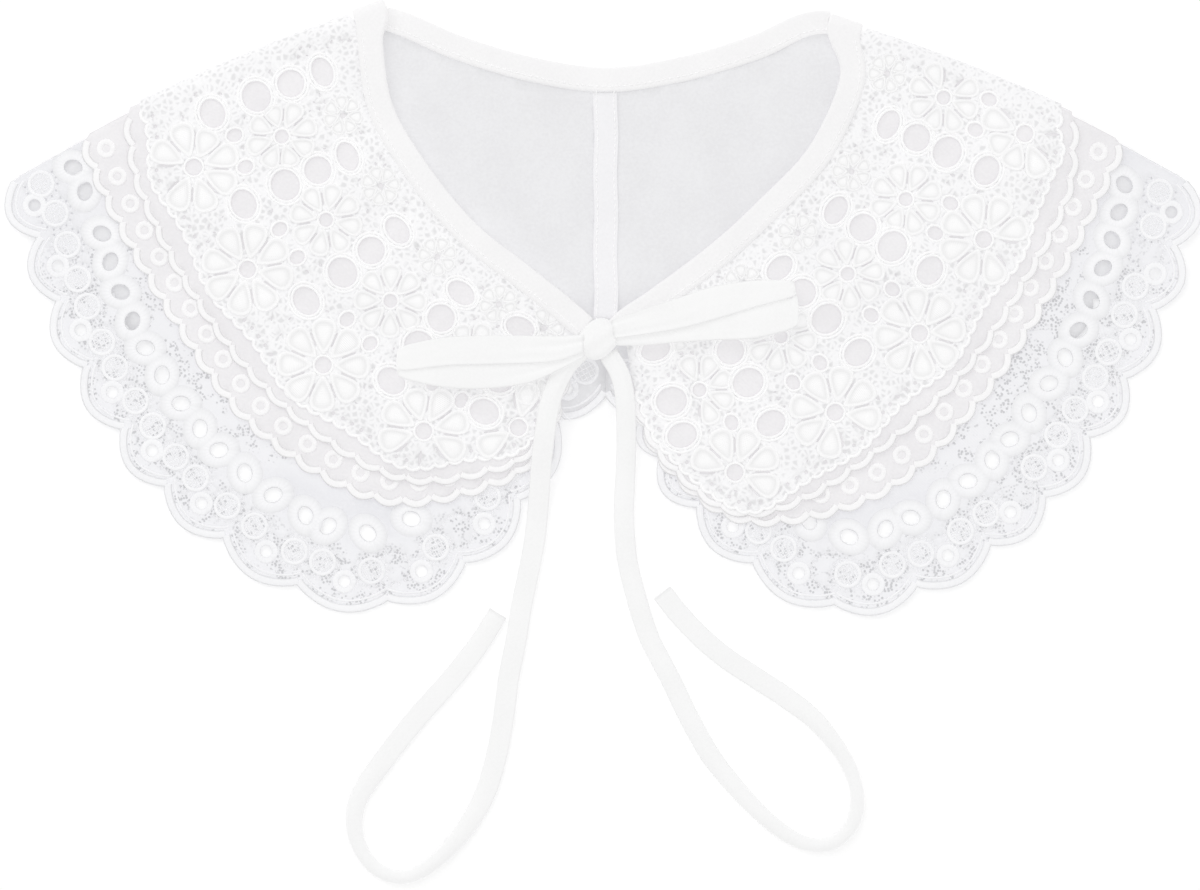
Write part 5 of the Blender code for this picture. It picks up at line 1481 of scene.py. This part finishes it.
def makeTail(side):
    route = np.array(tailRoutes[side])
    rows = evenly(rowAt(route, np.linspace(0, len(route) - 1, 900)), 2.5)
    rows[:, 2] += 0.5
    ahead = np.gradient(rows, axis=0)
    across = np.column_stack((-ahead[:, 1], ahead[:, 0], np.zeros(len(rows))))
    across /= np.linalg.norm(across, axis=1)[:, None]
    travel = lengthsAlong(rows)
    curls = np.interp(travel / travel[-1], *np.array(tailCurls[side]).T)
    curls = np.convolve(np.pad(curls, 4, mode="edge"), np.ones(9) / 9, mode="valid")
    half = ribbonLook["width"] / 2
    points, faces = [], []
    for k, row in enumerate(rows):
        gathered = 0.05 + 0.3 * max(0.0, 1.0 - travel[k] / 30.0)
        bend = half / (curlAngle * max(0.05, curls[k]))
        rise = bend * (1 - math.cos(half / bend))
        for x, z in ribbonProfile(half, gathered, 0.6 + travel[k] * 0.02):
            a = x / bend
            points.append(row + across[k] * (bend + z) * math.sin(a)
                          + np.array((0, 0, rise - bend + (bend + z) * math.cos(a))))
    count = 30
    for m in range(len(rows) - 1):
        for k in range(count):
            j = (k + 1) % count
            faces.append((m * count + k, m * count + j, (m + 1) * count + j, (m + 1) * count + k))
    faces.append(tuple(range(count))[::-1])
    faces.append(tuple(range((len(rows) - 1) * count, len(rows) * count)))
    item = newObject("tieTail_" + side, toMetres(points), faces, materials["ribbon"])
    turnOutward(item)
    keep(item, "ribbon", "tie_tail_" + side)
    line = toMetres(rows)


for sideName in sides:
    makeTail(sideName)

for motif in (*motifs.values(), stitchMotif):
    bpy.data.objects.remove(motif, do_unlink=True)

# Sheets: the flat size and area of each are printed; its stitched work and the layer under it are looked up but not
# used.
restsOn = {"base": ("back_layers",), "ring": ("baseCloth_",), "narrow": ("ringTier_",), "lace": ("narrowTier_",)}
workNames = {"baseCloth_": ("hemBand_", "hemLine_", "hemEyelets_", "hemPads_", "hemScrolls_", "hemNets_", "hemNetsBack_",
                            "hemBandBack_", "hemLineBack_", "hemEyeletsBack_", "hemPadsBack_", "hemScrollsBack_"),
             "ringTier_": ("ringBand_", "ringRings_"), "narrowTier_": ("narrowBand_",),
             "flowerLace_": ("lacePetals_", "laceCords_", "laceEdge_"),
             "neckBinding_": ("bindingStitches_",)}
below = {"baseCloth_": "back_layers", "ringTier_": "baseCloth_", "narrowTier_": "ringTier_",
         "flowerLace_": "narrowTier_", "neckBinding_": "flowerLace_"}
for name, (size, area) in flatSizes.items():
    stem, _, tail = name.partition("_")
    stem += "_"
    work = [pieces[w + tail] for w in workNames.get(stem, ()) if w + tail in pieces]
    under = below.get(stem)
    if name == "backSeamStrip":
        under, work = "baseCloth_left", [pieces["seamStitchesA"], pieces["seamStitchesB"]]
    elif name == "neckBinding_back":
        under = "back_layers"
    elif under != "back_layers":
        under = under + tail
    print("sheet", name, [round(float(v), 4) for v in size], "area", area and round(area, 5))


# Pale floor and soft studio light.
def makeFloor():
    points = [(-3, -3, 0), (3, -3, 0), (3, 3, 0), (-3, 3, 0)]
    material = bpy.data.materials.new("paleFloor")
    material.use_nodes = True
    shader = material.node_tree.nodes["Principled BSDF"]
    shader.inputs["Base Color"].default_value = (0.93, 0.93, 0.93, 1.0)
    shader.inputs["Emission Color"].default_value = (1.0, 1.0, 1.0, 1.0)
    shader.inputs["Emission Strength"].default_value = 0.17    # a lit table, as in the photograph
    shader.inputs["Roughness"].default_value = 0.9
    shader.inputs["Specular IOR Level"].default_value = 0.1
    floor = newObject("floor", points, [(0, 1, 2, 3)], material, smooth=False)
    floor.location.z = -0.0005
    return floor


lights = {"main": {"spot": (-0.9, 1.2, 1.5), "power": 9.6, "size": 1.6},
          "fill": {"spot": (1.2, -0.8, 1.6), "power": 4.8, "size": 2.0}}


def makeLights():
    made = []
    for name, look in lights.items():
        data = bpy.data.lights.new(name, "AREA")
        data.energy = look["power"]
        data.size = look["size"]
        lamp = bpy.data.objects.new(name, data)
        lamp.location = look["spot"]
        lamp.rotation_euler = (Vector((0, -0.05, 0)) - Vector(look["spot"])).to_track_quat("-Z", "Y").to_euler()
        bpy.context.scene.collection.objects.link(lamp)
        made.append(lamp)
    world = bpy.data.worlds.new("studio")
    world.use_nodes = True
    world.node_tree.nodes["Background"].inputs["Color"].default_value = (1.0, 1.0, 1.0, 1.0)
    world.node_tree.nodes["Background"].inputs["Strength"].default_value = 0.74
    bpy.context.scene.world = world
    return made


bpy.context.scene.view_settings.view_transform = "Standard"
makeFloor()
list(makeLights())
